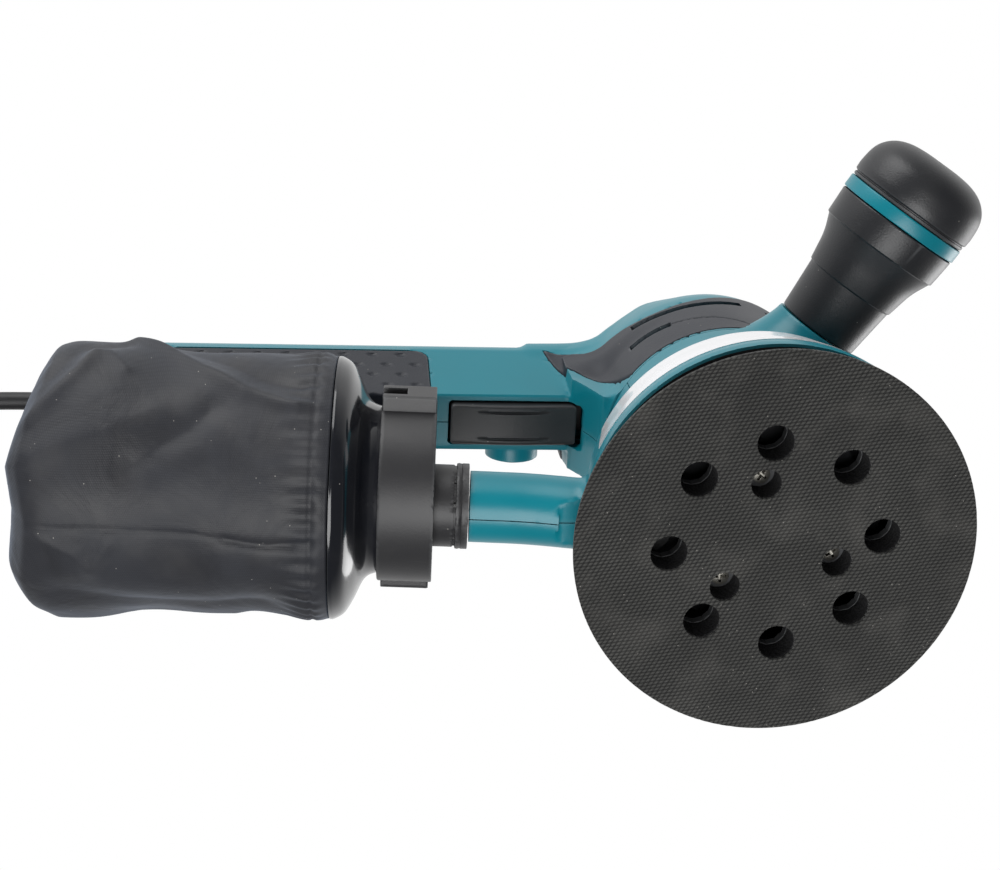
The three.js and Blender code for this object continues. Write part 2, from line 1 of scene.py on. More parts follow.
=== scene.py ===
"""An orbital sander with its dust bag, side grip and mains cord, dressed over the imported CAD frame.

Shapes are worked out in millimetres with numpy and written to meshes in metres. Smooth blended mouldings
come from a distance field (negative inside the plastic) that `contour` turns into a mesh. Everything else
is a grid of two parameters: a profile turned about an axis, or a section carried along a path.
"""
import math

import bmesh
import bpy
import numpy as np
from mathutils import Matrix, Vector


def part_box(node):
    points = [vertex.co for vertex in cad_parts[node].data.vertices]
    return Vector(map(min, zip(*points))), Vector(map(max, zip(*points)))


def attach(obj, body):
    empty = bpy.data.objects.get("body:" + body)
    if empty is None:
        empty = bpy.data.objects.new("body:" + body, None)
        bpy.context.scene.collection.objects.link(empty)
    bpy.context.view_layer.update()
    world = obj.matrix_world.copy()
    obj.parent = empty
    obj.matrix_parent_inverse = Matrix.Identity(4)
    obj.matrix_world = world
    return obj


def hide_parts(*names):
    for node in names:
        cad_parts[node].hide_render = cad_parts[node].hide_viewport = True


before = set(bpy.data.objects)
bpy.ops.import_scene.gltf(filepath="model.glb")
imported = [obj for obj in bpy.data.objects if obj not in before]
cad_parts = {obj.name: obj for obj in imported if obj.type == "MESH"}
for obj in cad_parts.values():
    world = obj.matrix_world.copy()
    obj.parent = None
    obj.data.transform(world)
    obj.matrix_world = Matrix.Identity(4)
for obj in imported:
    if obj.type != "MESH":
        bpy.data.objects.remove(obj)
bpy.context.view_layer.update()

MM = 0.001
TAU = 2 * math.pi

# ---- Driving dimensions, in millimetres. The origin is on the motor axis, at the pad's face ----
GAP = 0.3
WALL = 2.8
SEAM = 0.15  # half the parting gap between the two housing halves
ORBIT = 1.4
SKIRT_Z = 17
COLLAR_Z = (50, 86)
GROOVE_R = 38.3
BODY_R = 41.5
DOME_Z = 153.5
HANDLE = {"back": -199, "top": 152.5, "bottom": 107.5, "half": 17.6, "round": 16.5, "corner": 13}
HANDLE_WAIST = 135  # below this height the handle's sides taper inwards
KEEL_HALF = 9.9  # half width of the handle at its underside
WEB_HALF = 16.4  # half width of the web that joins the handle to the motor housing
WEB_BACK = -50.5
PAD_R = 61.5
DUST_HOLE = {"count": 8, "ring": 32.5, "r": 5.7, "first": -5.2}
PAD_SCREW = {"count": 3, "ring": 20, "well": 4.7, "first": 16.5}
DUCT_R = 11
BORE_R = 8.8
DUCT_END = (-91.5, 29.8)
DUCT_TILT = math.radians(4.5)
TRIGGER = {"back": -91.8, "front": -48.6, "half": 7.2, "bottom": 103.5}
LOCK_AT = (-67.3, 133)
DIAL_AT = (-188.5, 144)
GUARD_TIP = (-232, 125)
KNOB_ANGLE = math.radians(-57.2)
KNOB_Z = 84.5
KNOB_BAND = (94, 98.5)
CORD_R = 3.1
COIL = {"at": (-372, -43), "radii": (43, 36.5, 30), "layer": 6.25, "first": 3.4}
SCREWS = [(-186, 119.5, 11.5), (-90, 147.2, 13), (2, 144, 27), (46, 37, 20), (-47, 43, 10)]


# ---- Lines and outlines ----
def smooth_line(points, per_span=8, closed=False):
    """A Catmull-Rom curve: each span mixes its four nearest points with cubic weights."""
    p = np.asarray(points, float)
    if closed:
        around = np.vstack([p[-1], p, p[:2]])
    else:
        around = np.vstack([2 * p[0] - p[1], p, 2 * p[-1] - p[-2]])
    t = np.linspace(0, 1, per_span, endpoint=False)[:, None]
    a, b, c, d = (around[i:len(around) - 3 + i, None] for i in range(4))
    spans = 0.5 * (2 * b + (c - a) * t + (2 * a - 5 * b + 4 * c - d) * t**2 + (3 * b - a - 3 * c + d) * t**3)
    line = spans.reshape(-1, p.shape[1])
    return line if closed else np.vstack([line, p[-1]])


def rounded(corners, radius, steps=5, closed=True):
    """Straight sides, each corner replaced by a quadratic curve that starts and ends `radius` from it."""
    p = np.asarray(corners, float)
    r = np.broadcast_to(np.asarray(radius, float), (len(p),))[:, None]
    before = np.roll(p, 1, 0) - p
    after = np.roll(p, -1, 0) - p
    reach_in = np.linalg.norm(before, axis=1, keepdims=True)
    reach_out = np.linalg.norm(after, axis=1, keepdims=True)
    start = p + before / reach_in * np.minimum(r, reach_in * 0.49)
    end = p + after / reach_out * np.minimum(r, reach_out * 0.49)
    t = np.linspace(0, 1, steps + 1)[None, :, None]
    curve = (1 - t)**2 * start[:, None] + 2 * t * (1 - t) * p[:, None] + t**2 * end[:, None]
    if closed:
        return curve.reshape(-1, 2)
    return np.vstack([p[0], curve[1:-1].reshape(-1, 2), p[-1]])


def resampled(line, step):
    """The same line with its points an even distance apart."""
    p = np.asarray(line, float)
    reach = np.concatenate([[0], np.cumsum(np.linalg.norm(np.diff(p, axis=0), axis=1))])
    wanted = np.linspace(0, reach[-1], int(round(reach[-1] / step)) + 1)
    return np.stack([np.interp(wanted, reach, p[:, k]) for k in range(p.shape[1])], -1)


# ---- Distance fields ----
def segment_distance(line, points, closed):
    """Distance from each point to the nearest of the line's segments."""
    ends = np.roll(line, -1, 0) if closed else line[1:]
    best = np.full(len(points), np.inf)
    for a, b in zip(line, ends):
        along = b - a
        t = np.clip((points - a) @ along / max(along @ along, 1e-12), 0, 1)
        best = np.minimum(best, ((points - a - t[:, None] * along)**2).sum(1))
    return np.sqrt(best)


def outline_distance(outline, points):
    """Distance to a closed outline, negative inside it.

    A point is inside when a ray from it crosses an odd number of sides.
    """
    inside = np.zeros(len(points), bool)
    for a, b in zip(outline, np.roll(outline, -1, 0)):
        if a[1] == b[1]:
            continue
        spans = (a[1] > points[:, 1]) != (b[1] > points[:, 1])
        cross = a[0] + (points[:, 1] - a[1]) * (b[0] - a[0]) / (b[1] - a[1])
        inside ^= spans & (points[:, 0] < cross)
    return np.where(inside, -1, 1) * segment_distance(outline, points, True)


def chart(outline, low, high, step=0.5, closed=True):
    """A table of an outline's distance, worked out once and read by mixing the four nearest entries."""
    us = np.arange(low[0], high[0] + step, step)
    vs = np.arange(low[1], high[1] + step, step)
    points = np.stack(np.meshgrid(us, vs, indexing="ij"), -1).reshape(-1, 2)
    line = np.asarray(outline, float)
    flat = outline_distance(line, points) if closed else segment_distance(line, points, False)
    table = flat.reshape(len(us), len(vs))

    def read(u, v):
        fu = np.clip((u - us[0]) / step, 0, len(us) - 1.001)
        fv = np.clip((v - vs[0]) / step, 0, len(vs) - 1.001)
        i, j = fu.astype(int), fv.astype(int)
        a, b = fu - i, fv - j
        near = (1 - a) * table[i, j] + a * table[i + 1, j]
        far = (1 - a) * table[i, j + 1] + a * table[i + 1, j + 1]
        return (1 - b) * near + b * far

    return read


def melt(a, b, k):
    """Either solid, with a fillet of about k where they meet."""
    h = np.clip(0.5 + 0.5 * (b - a) / k, 0, 1)
    return b * (1 - h) + a * h - k * h * (1 - h)


def meet(a, b, k):
    """What two solids share, with its edges rounded by about k."""
    return -melt(-a, -b, k)


def brick(u, v, half_u, half_v, radius):
    """Distance to a rectangle with round corners, centred on zero."""
    x, y = np.abs(u) - half_u + radius, np.abs(v) - half_v + radius
    return np.hypot(np.maximum(x, 0), np.maximum(y, 0)) + np.minimum(np.maximum(x, y), 0) - radius


def slab(value, low, high):
    return np.maximum(low - value, value - high)


def cross_rod(p, x, z, r):
    """A rod through the object along Y."""
    return np.hypot(p[:, 0] - x, p[:, 2] - z) - r


def slope(field, points, step=0.03):
    """The field's direction of steepest growth, from differences along each axis."""
    parts = [field(points + o) - field(points - o) for o in np.eye(3) * step]
    found = np.stack(parts, -1)
    return found / np.maximum(np.linalg.norm(found, axis=1, keepdims=True), 1e-9)


def contour(field, low, high, cell):
    """The surface where a field is zero, as points and four-cornered faces.

    One point goes in each cell that the surface passes through, where the planes that touch the surface at
    the cell's crossed edges come closest to meeting, so creases stay crisp. Each crossed edge then joins the
    points of its four cells with a face.
    """
    axes = [np.arange(a, b + cell, cell) for a, b in zip(low, high)]
    shape = np.array([len(a) for a in axes])
    grid = np.stack(np.meshgrid(*axes, indexing="ij"), -1)
    value = field(grid.reshape(-1, 3)).reshape(shape)
    inside = value < 0
    spots, normals, owners, flips = [], [], [], []
    for axis in range(3):
        step = np.eye(3, dtype=int)[axis]
        lower = tuple(slice(0, -1) if k == axis else slice(None) for k in range(3))
        upper = tuple(slice(1, None) if k == axis else slice(None) for k in range(3))
        index = np.argwhere(inside[lower] != inside[upper])
        side = [k for k in range(3) if k != axis]
        index = index[((index[:, side] > 0) & (index[:, side] < shape[side] - 1)).all(1)]
        start, end = grid[tuple(index.T)], grid[tuple((index + step).T)]
        low_value, high_value = value[tuple(index.T)], value[tuple((index + step).T)]
        a, b = np.zeros(len(index)), np.ones(len(index))
        for _ in range(4):
            t = a + (b - a) * np.clip(low_value / (low_value - high_value), 0.05, 0.95)
            here = field(start + (end - start) * t[:, None])
            same = (here < 0) == (low_value < 0)
            a, low_value = np.where(same, t, a), np.where(same, here, low_value)
            b, high_value = np.where(same, b, t), np.where(same, high_value, here)
        t = a + (b - a) * low_value / (low_value - high_value)
        spot = start + (end - start) * t[:, None]
        one, two = np.eye(3, dtype=int)[(axis + 1) % 3], np.eye(3, dtype=int)[(axis + 2) % 3]
        cells = np.stack([index - one - two, index - two, index, index - one], 1)
        spots.append(spot)
        normals.append(slope(field, spot))
        owners.append(np.ravel_multi_index(cells.reshape(-1, 3).T, shape).reshape(-1, 4))
        flips.append(~inside[tuple(index.T)])
    spot, normal, owner = np.vstack(spots), np.vstack(normals), np.vstack(owners)
    flip = np.concatenate(flips)
    used, owner = np.unique(owner, return_inverse=True)
    owner = owner.reshape(-1, 4)
    target = owner.ravel()
    spot4, normal4 = np.repeat(spot, 4, 0), np.repeat(normal, 4, 0)
    count = np.bincount(target, minlength=len(used))
    total = lambda w: np.bincount(target, w, len(used))
    centre = np.stack([total(spot4[:, k]) for k in range(3)], -1) / count[:, None]
    plane = (normal4 * spot4).sum(1)
    matrix = np.stack([total(normal4[:, i] * normal4[:, j]) for i in range(3) for j in range(3)], -1)
    matrix = matrix.reshape(-1, 3, 3)
    pull = np.stack([total(normal4[:, k] * plane) for k in range(3)], -1)
    pull -= np.einsum("nij,nj->ni", matrix, centre)
    matrix += np.eye(3) * (0.04 * count)[:, None, None]
    points = centre + np.linalg.solve(matrix, pull[..., None])[..., 0]
    corner = np.stack([ax[k] for ax, k in zip(axes, np.unravel_index(used, shape))], -1)
    points = np.clip(points, corner - 0.02 * cell, corner + 1.02 * cell)
    faces = np.where(flip[:, None], owner[:, ::-1], owner)
    return points, faces


# ---- Grids ----
def grid_faces(rows, columns, close_rows=False, close_columns=True):
    """Four-cornered faces between the neighbouring points of a grid."""
    r = np.arange(rows if close_rows else rows - 1)[:, None]
    c = np.arange(columns if close_columns else columns - 1)[None]
    r2, c2 = (r + 1) % rows, (c + 1) % columns
    return np.stack([r * columns + c, r * columns + c2, r2 * columns + c2, r2 * columns + c],
                    -1).reshape(-1, 4)


def turned(profile, segments=96, closed=False):
    """A profile of (radius, height) points turned about Z: x = r cos a, y = r sin a, z = height."""
    line = np.asarray(profile, float)
    angle = np.arange(segments) * TAU / segments
    r, z = line[:, 0][:, None], line[:, 1][:, None]
    points = np.stack([r * np.cos(angle), r * np.sin(angle), z + 0 * angle], -1).reshape(-1, 3)
    return points, grid_faces(len(line), segments, closed)


def carried(path, section):
    """A closed section of (side, up) points carried along a path. Side is level and square to the path."""
    path = np.asarray(path, float)
    along = np.gradient(path, axis=0)
    along /= np.linalg.norm(along, axis=1, keepdims=True)
    side = np.cross([0, 0, 1], along)
    side /= np.linalg.norm(side, axis=1, keepdims=True)
    up = np.cross(along, side)
    s = np.asarray(section, float)
    rings = path[:, None] + side[:, None] * s[None, :, :1] + up[:, None] * s[None, :, 1:2]
    ends = [np.repeat(path[i][None, None], len(s), 1) for i in (0, -1)]
    points = np.concatenate([ends[0], rings, ends[1]]).reshape(-1, 3)
    return points, grid_faces(len(path) + 2, len(s))


def circle(r, count):
    a = np.arange(count) * TAU / count
    return np.stack([r * np.cos(a), r * np.sin(a)], -1)


def joined(*parts):
    """Several surfaces as one list of points and one of faces."""
    starts = np.cumsum([0] + [len(p) for p, _ in parts[:-1]])
    return np.vstack([p for p, _ in parts]), np.vstack([f + s for (_, f), s in zip(parts, starts)])


def spun(points, angle):
    """Points turned about Z."""
    c, s = math.cos(angle), math.sin(angle)
    return points @ np.array([[c, s, 0], [-s, c, 0], [0, 0, 1]])


def to_knob(points):
    """From a drawing along +Z to the side grip's axis."""
    lying = np.stack([points[:, 2], points[:, 1], KNOB_Z - points[:, 0]], -1)
    return spun(lying, KNOB_ANGLE)


dust_out = np.array([-math.cos(DUCT_TILT), 0, math.sin(DUCT_TILT)])
dust_up = np.array([math.sin(DUCT_TILT), 0, math.cos(DUCT_TILT)])
dust_at = np.array([DUCT_END[0], 0, DUCT_END[1]])
BAG_UP = 12  # the bag's axis lies this far above the nozzle's


def to_dust(points):
    """From a drawing whose Z points out of the dust nozzle and whose X points up to its place."""
    return dust_at + points[:, :1] * dust_up + points[:, 1:2] * [0, 1, 0] + points[:, 2:] * dust_out


# ---- Making objects ----
def piece(name, surface, material, body, replaces=(), weld=True, crease=32):
    """A mesh object at the origin from points in millimetres, riding on a body."""
    points, faces = surface
    mesh = bpy.data.meshes.new(name)
    mesh.vertices.add(len(points))
    mesh.vertices.foreach_set("co", (np.asarray(points) * MM).astype(np.float32).ravel())
    mesh.loops.add(faces.size)
    mesh.loops.foreach_set("vertex_index", faces.astype(np.int32).ravel())
    mesh.polygons.add(len(faces))
    mesh.polygons.foreach_set("loop_start", np.arange(0, faces.size, 4, dtype=np.int32))
    mesh.update(calc_edges=True)
    if weld:
        weld_and_turn_out(mesh)
    mesh.validate()
    mesh.shade_smooth()
    mesh.set_sharp_from_angle(angle=math.radians(crease))
    mesh.materials.append(material)
    thing = bpy.data.objects.new(name, mesh)
    bpy.context.scene.collection.objects.link(thing)
    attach(thing, body)
    if replaces:
        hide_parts(*replaces)
    return thing


def weld_and_turn_out(mesh):
    """Joins the doubled points at poles and ends, and turns every face outwards."""
    work = bmesh.new()
    work.from_mesh(mesh)
    bmesh.ops.remove_doubles(work, verts=work.verts, dist=1e-6)
    bmesh.ops.recalc_face_normals(work, faces=work.faces)
    work.to_mesh(mesh)
    work.free()


# ---- Shader building blocks ----
def srgb(r, g, b):
    """A screen colour as the linear colour that shaders take."""
    c = np.array([r, g, b]) / 255
    return (*np.where(c <= 0.04045, c / 12.92, ((c + 0.055) / 1.055)**2.4).tolist(), 1)


def node(tree, kind, inputs=(), **settings):
    """One shader node with its settings, and its inputs set or linked by name or number."""
    made = tree.nodes.new("ShaderNode" + kind)
    for name, value in settings.items():
        setattr(made, name, value)
    for name, value in dict(inputs).items():
        if isinstance(value, bpy.types.NodeSocket):
            tree.links.new(value, made.inputs[name])
        else:
            made.inputs[name].default_value = value
    return made


def calc(tree, operation, *values):
    return node(tree, "Math", dict(enumerate(values)), operation=operation).outputs[0]


def remap(tree, value, low, high, to_low, to_high):
    inputs = {"Value": value, "From Min": low, "From Max": high, "To Min": to_low, "To Max": to_high}
    return node(tree, "MapRange", inputs).outputs[0]


def blended(tree, factor, a, b, kind="MIX"):
    mix = node(tree, "Mix", data_type="RGBA", blend_type=kind)
    for slot_number, value in ((0, factor), (6, a), (7, b)):
        if isinstance(value, bpy.types.NodeSocket):
            tree.links.new(value, mix.inputs[slot_number])
        else:
            mix.inputs[slot_number].default_value = value
    return mix.outputs[2]


def group(name, inputs, outputs):
    """An empty node group with named sockets: returns its tree, its input sockets and its output node."""
    tree = bpy.data.node_groups.new(name, "ShaderNodeTree")
    for label, kind, value in inputs:
        socket = tree.interface.new_socket(label, in_out="INPUT", socket_type="NodeSocket" + kind)
        if value is not None:
            socket.default_value = value
    for label, kind in outputs:
        tree.interface.new_socket(label, in_out="OUTPUT", socket_type="NodeSocket" + kind)
    return tree, tree.nodes.new("NodeGroupInput").outputs, tree.nodes.new("NodeGroupOutput")


def moulded_group():
    """Moulded plastic or rubber: spark-eroded grain, slow colour drift, rubbed edges and faint scuffs."""
    tree, given, out = group(
        "Moulded finish",
        [("Vector", "Vector", None), ("Colour", "Color", (0.1, 0.1, 0.1, 1)),
         ("Grain Size", "Float", 1800.0),
         ("Grain Depth", "Float", 0.15), ("Roughness", "Float", 0.4), ("Wear", "Float", 0.3)],
        [("Colour", "Color"), ("Roughness", "Float"), ("Normal", "Vector")],
    )
    grain = node(tree, "TexNoise", {"Vector": given["Vector"], "Scale": given["Grain Size"], "Detail": 2.0})
    drift = node(tree, "TexNoise", {"Vector": given["Vector"], "Scale": 22.0, "Detail": 3.0})
    streak = node(tree, "Mapping",
                  {"Vector": given["Vector"], "Rotation": (0.3, 0.5, 0.9), "Scale": (40, 700, 420)})
    scuff = node(tree, "TexNoise",
                 {"Vector": streak.outputs[0], "Scale": 1.0, "Detail": 4.0, "Roughness": 0.7})
    rubbed = remap(tree, scuff.outputs[0], 0.62, 0.74, 0.0, 1.0)
    edge = remap(tree, node(tree, "NewGeometry").outputs["Pointiness"], 0.52, 0.6, 0.0, 1.0)
    worn = calc(tree, "MULTIPLY",
                calc(tree, "ADD", calc(tree, "MULTIPLY", edge, 0.7), calc(tree, "MULTIPLY", rubbed, 0.12)),
                given["Wear"])
    tinted = node(tree, "HueSaturation",
                  {"Color": given["Colour"], "Value": remap(tree, drift.outputs[0], 0.3, 0.7, 0.93, 1.07)})
    pale = blended(tree, 0.35, given["Colour"], (0.75, 0.78, 0.8, 1))
    tree.links.new(blended(tree, worn, tinted.outputs[0], pale), out.inputs["Colour"])
    rough = calc(tree, "ADD", given["Roughness"], remap(tree, drift.outputs[0], 0.3, 0.7, -0.05, 0.05))
    tree.links.new(calc(tree, "ADD", rough, calc(tree, "MULTIPLY", worn, 0.25)), out.inputs["Roughness"])
    bump = node(tree, "Bump",
                {"Height": grain.outputs[0], "Strength": given["Grain Depth"], "Distance": 0.0002})
    tree.links.new(bump.outputs[0], out.inputs["Normal"])
    return tree


def weave_group():
    """Rows of slanted stitches: a hump along each row times one across it, every other row shifted."""
    tree, given, out = group(
        "Woven rows",
        [("Vector", "Vector", None), ("Along", "Float", 800.0), ("Across", "Float", 800.0),
         ("Lean", "Float", 0.4)],
        [("Height", "Float"), ("Row Shade", "Float")],
    )
    wander = node(tree, "TexNoise", {"Vector": given["Vector"], "Scale": 120.0, "Detail": 1.0})
    axes = node(tree, "SeparateXYZ", {0: given["Vector"]}).outputs
    bend = remap(tree, wander.outputs[0], 0.0, 1.0, -0.3, 0.3)
    v = calc(tree, "ADD", calc(tree, "MULTIPLY", axes[1], given["Across"]), bend)
    row = calc(tree, "FLOOR", v)
    in_row = calc(tree, "FRACT", v)
    half_step = calc(tree, "MULTIPLY", calc(tree, "FRACT", calc(tree, "MULTIPLY", row, 0.5)), 1.0)
    lean = calc(tree, "MULTIPLY", in_row, given["Lean"])
    u = calc(tree, "ADD", calc(tree, "MULTIPLY", axes[0], given["Along"]),
             calc(tree, "ADD", half_step, lean))
    hump = lambda value: calc(tree, "SINE", calc(tree, "MULTIPLY", calc(tree, "FRACT", value), math.pi))
    tree.links.new(calc(tree, "MULTIPLY", hump(u), hump(v)), out.inputs["Height"])
    tree.links.new(calc(tree, "FRACT", calc(tree, "MULTIPLY", row, 0.371)), out.inputs["Row Shade"])
    return tree


def lint_group():
    """Pale dust specks and a faint dust film caught on a surface."""
    tree, given, out = group(
        "Caught dust",
        [("Vector", "Vector", None), ("Colour", "Color", (0.1, 0.1, 0.1, 1)), ("Amount", "Float", 0.5),
         ("Speck Size", "Float", 900.0)],
        [("Colour", "Color"), ("Mask", "Float")],
    )
    specks = node(tree, "TexVoronoi",
                  {"Vector": given["Vector"], "Scale": given["Speck Size"], "Randomness": 1.0})
    choice = node(tree, "SeparateColor", {0: specks.outputs["Color"]}).outputs[0]
    here = remap(tree, specks.outputs["Distance"], 0.12, 0.2, 1.0, 0.0)
    picked = calc(tree, "GREATER_THAN", choice,
                  calc(tree, "SUBTRACT", 1.0, calc(tree, "MULTIPLY", given["Amount"], 0.04)))
    film = node(tree, "TexNoise", {"Vector": given["Vector"], "Scale": 60.0, "Detail": 5.0})
    haze = calc(tree, "MULTIPLY", remap(tree, film.outputs[0], 0.5, 0.75, 0.0, 0.12), given["Amount"])
    mask = calc(tree, "ADD", calc(tree, "MULTIPLY", calc(tree, "MULTIPLY", here, picked), 0.7), haze)
    tree.links.new(blended(tree, mask, given["Colour"], (0.42, 0.4, 0.37, 1)), out.inputs["Colour"])
    tree.links.new(mask, out.inputs["Mask"])
    return tree


MOULDED, WOVEN, LINT = moulded_group(), weave_group(), lint_group()


def use(tree, shared, **inputs):
    """Places a shared group and sets its inputs, named with underscores for spaces."""
    return node(tree, "Group", {k.replace("_", " "): v for k, v in inputs.items()},
                node_tree=shared).outputs


def blank_material(name, **shader):
    """A material, its Principled shader and object coordinates, with constants set on the shader's sockets."""
    made = bpy.data.materials.new(name)
    made.use_nodes = True
    tree = made.node_tree
    surface = tree.nodes["Principled BSDF"]
    for label, value in shader.items():
        surface.inputs[label.replace("_", " ")].default_value = value
    return made, tree, surface, node(tree, "TexCoord").outputs


def moulded(name, colour, roughness, grain=0.15, size=1800.0, wear=0.3, dust=0.0, **shader):
    """Moulded plastic or rubber in one colour, with the dust that settles on it."""
    made, tree, surface, place = blank_material(name, **shader)
    skin = use(tree, MOULDED, Vector=place["Object"], Colour=colour, Grain_Size=size, Grain_Depth=grain,
               Roughness=roughness, Wear=wear)
    dusty = use(tree, LINT, Vector=place["Object"], Colour=skin["Colour"], Amount=dust)
    tree.links.new(dusty["Colour"], surface.inputs["Base Color"])
    tree.links.new(skin["Roughness"], surface.inputs["Roughness"])
    tree.links.new(skin["Normal"], surface.inputs["Normal"])
    return made


def housing_material():
    """The housing's teal plastic with a little fine dust, and painted shade: near black on the inside of the
    fan chamber, where it lies in shadow.
    """
    made = moulded("housing_plastic", TEAL, 0.34, grain=0.1, wear=0.2, dust=0.04)
    tree, surface = made.node_tree, made.node_tree.nodes["Principled BSDF"]
    axes = node(tree, "SeparateXYZ", {0: node(tree, "TexCoord").outputs["Object"]}).outputs
    radius = calc(tree, "SQRT", calc(tree, "ADD", calc(tree, "MULTIPLY", axes[0], axes[0]),
                                     calc(tree, "MULTIPLY", axes[1], axes[1])))
    # Painted shade: inside the wall and below 48.5 mm the teal is blended to near black, to stand in for the
    # shadow in the fan chamber.
    inner_face = calc(tree, "SUBTRACT", 0.0604, calc(tree, "MULTIPLY", axes[2], 0.2))
    inside = calc(tree, "MULTIPLY", calc(tree, "LESS_THAN", radius, inner_face),
                  calc(tree, "LESS_THAN", axes[2], 0.0485))
    plain = surface.inputs["Base Color"].links[0].from_socket
    tree.links.new(blended(tree, inside, plain, srgb(20, 20, 21)), surface.inputs["Base Color"])
    return made


def metal(name, colour, roughness, stretch=(30, 30, 900), **shader):
    """Machined metal: fine lines left by the tool, and duller patches where it has been handled."""
    made, tree, surface, place = blank_material(name, Metallic=1.0, **shader)
    lines = node(tree, "Mapping", {"Vector": place["Object"], "Scale": stretch})
    cut = node(tree, "TexNoise", {"Vector": lines.outputs[0], "Scale": 6.0, "Detail": 4.0})
    haze = node(tree, "TexNoise", {"Vector": place["Object"], "Scale": 60.0, "Detail": 3.0})
    shade = node(tree, "HueSaturation",
                 {"Color": colour, "Value": remap(tree, haze.outputs[0], 0.3, 0.7, 0.8, 1.1)})
    tree.links.new(shade.outputs[0], surface.inputs["Base Color"])
    tree.links.new(calc(tree, "ADD", roughness, remap(tree, haze.outputs[0], 0.3, 0.7, -0.08, 0.12)),
                   surface.inputs["Roughness"])
    bump = node(tree, "Bump", {"Height": cut.outputs[0], "Strength": 0.2, "Distance": 0.0001})
    tree.links.new(bump.outputs[0], surface.inputs["Normal"])
    return made


def hook_material():
    """The pad's hook face: slanted rows of stitches in charcoal yarn, with lint."""
    made, tree, surface, place = blank_material("hook_cloth", Roughness=0.9, Sheen_Weight=0.15,
                                                Sheen_Roughness=0.5)
    turned_by = node(tree, "Mapping", {"Vector": place["Object"], "Rotation": (0, 0, math.radians(8))})
    rows = use(tree, WOVEN, Vector=turned_by.outputs[0], Along=620.0, Across=880.0, Lean=0.6)
    yarn = blended(tree, rows["Height"], srgb(9, 9, 10), srgb(80, 80, 77))
    patchy = node(tree, "TexNoise", {"Vector": place["Object"], "Scale": 45.0, "Detail": 5.0})
    toned = node(tree, "HueSaturation",
                 {"Color": yarn, "Value": remap(tree, patchy.outputs[0], 0.3, 0.7, 0.75, 1.25)})
    dusty = use(tree, LINT, Vector=place["Object"], Colour=toned.outputs[0], Amount=0.7)
    tree.links.new(dusty["Colour"], surface.inputs["Base Color"])
    fuzz = node(tree, "TexNoise", {"Vector": place["Object"], "Scale": 4200.0, "Detail": 2.0})
    height = calc(tree, "ADD", rows["Height"], calc(tree, "MULTIPLY", fuzz.outputs[0], 0.5))
    bump = node(tree, "Bump", {"Height": height, "Strength": 0.9, "Distance": 0.0005})
    tree.links.new(bump.outputs[0], surface.inputs["Normal"])
    return made


def cloth_material():
    """The bag's coated nylon: a fine square weave over soft creases, with a dull bluish sheen."""
    made, tree, surface, place = blank_material("bag_cloth", Sheen_Weight=0.25, Sheen_Roughness=0.35)
    surface.inputs["Sheen Tint"].default_value = srgb(140, 165, 200)
    rows = use(tree, WOVEN, Vector=place["Object"], Along=1500.0, Across=1500.0, Lean=0.0)
    crumple = node(tree, "TexNoise",
                   {"Vector": place["Object"], "Scale": 38.0, "Detail": 5.0, "Roughness": 0.55,
                    "Distortion": 0.6})
    base = blended(tree, remap(tree, crumple.outputs[0], 0.35, 0.7, 0.0, 1.0), srgb(36, 37, 42),
                   srgb(50, 52, 58))
    threads = blended(tree, rows["Height"], (0.75, 0.75, 0.78, 1), (1.1, 1.1, 1.1, 1))
    dusty = use(tree, LINT, Vector=place["Object"], Colour=blended(tree, 1.0, base, threads, "MULTIPLY"),
                Amount=0.35)
    tree.links.new(dusty["Colour"], surface.inputs["Base Color"])
    tree.links.new(remap(tree, crumple.outputs[0], 0.3, 0.7, 0.5, 0.66), surface.inputs["Roughness"])
    weave = node(tree, "Bump", {"Height": rows["Height"], "Strength": 0.25, "Distance": 0.0001})
    folds = node(tree, "Bump",
                 {"Height": crumple.outputs[0], "Strength": 0.35, "Distance": 0.003,
                  "Normal": weave.outputs[0]})
    tree.links.new(folds.outputs[0], surface.inputs["Normal"])
    return made


def foam_material():
    """The pad's foam edge: open cells of mixed size."""
    made, tree, surface, place = blank_material("pad_foam", Roughness=0.85)
    cells = node(tree, "TexVoronoi", {"Vector": place["Object"], "Scale": 1400.0}, feature="SMOOTH_F1")
    colour = blended(tree, cells.outputs["Distance"], srgb(18, 18, 19), srgb(58, 58, 60))
    tree.links.new(colour, surface.inputs["Base Color"])
    bump = node(tree, "Bump", {"Height": cells.outputs["Distance"], "Strength": 0.7, "Distance": 0.0004})
    tree.links.new(bump.outputs[0], surface.inputs["Normal"])
    return made


def board_material():
    """A lacquered circuit board with copper tracks under green."""
    made, tree, surface, place = blank_material("circuit_board", Roughness=0.35, Coat_Weight=0.4)
    tracks = node(tree, "TexBrick", {"Vector": place["Object"], "Scale": 160.0, "Mortar Size": 0.12})
    tracks.inputs["Color1"].default_value = srgb(20, 84, 52)
    tracks.inputs["Color2"].default_value = srgb(16, 70, 44)
    tracks.inputs["Mortar"].default_value = srgb(60, 130, 70)
    tree.links.new(tracks.outputs["Color"], surface.inputs["Base Color"])
    bump = node(tree, "Bump", {"Height": tracks.outputs["Fac"], "Strength": 0.3, "Distance": 0.0001})
    tree.links.new(bump.outputs[0], surface.inputs["Normal"])
    return made


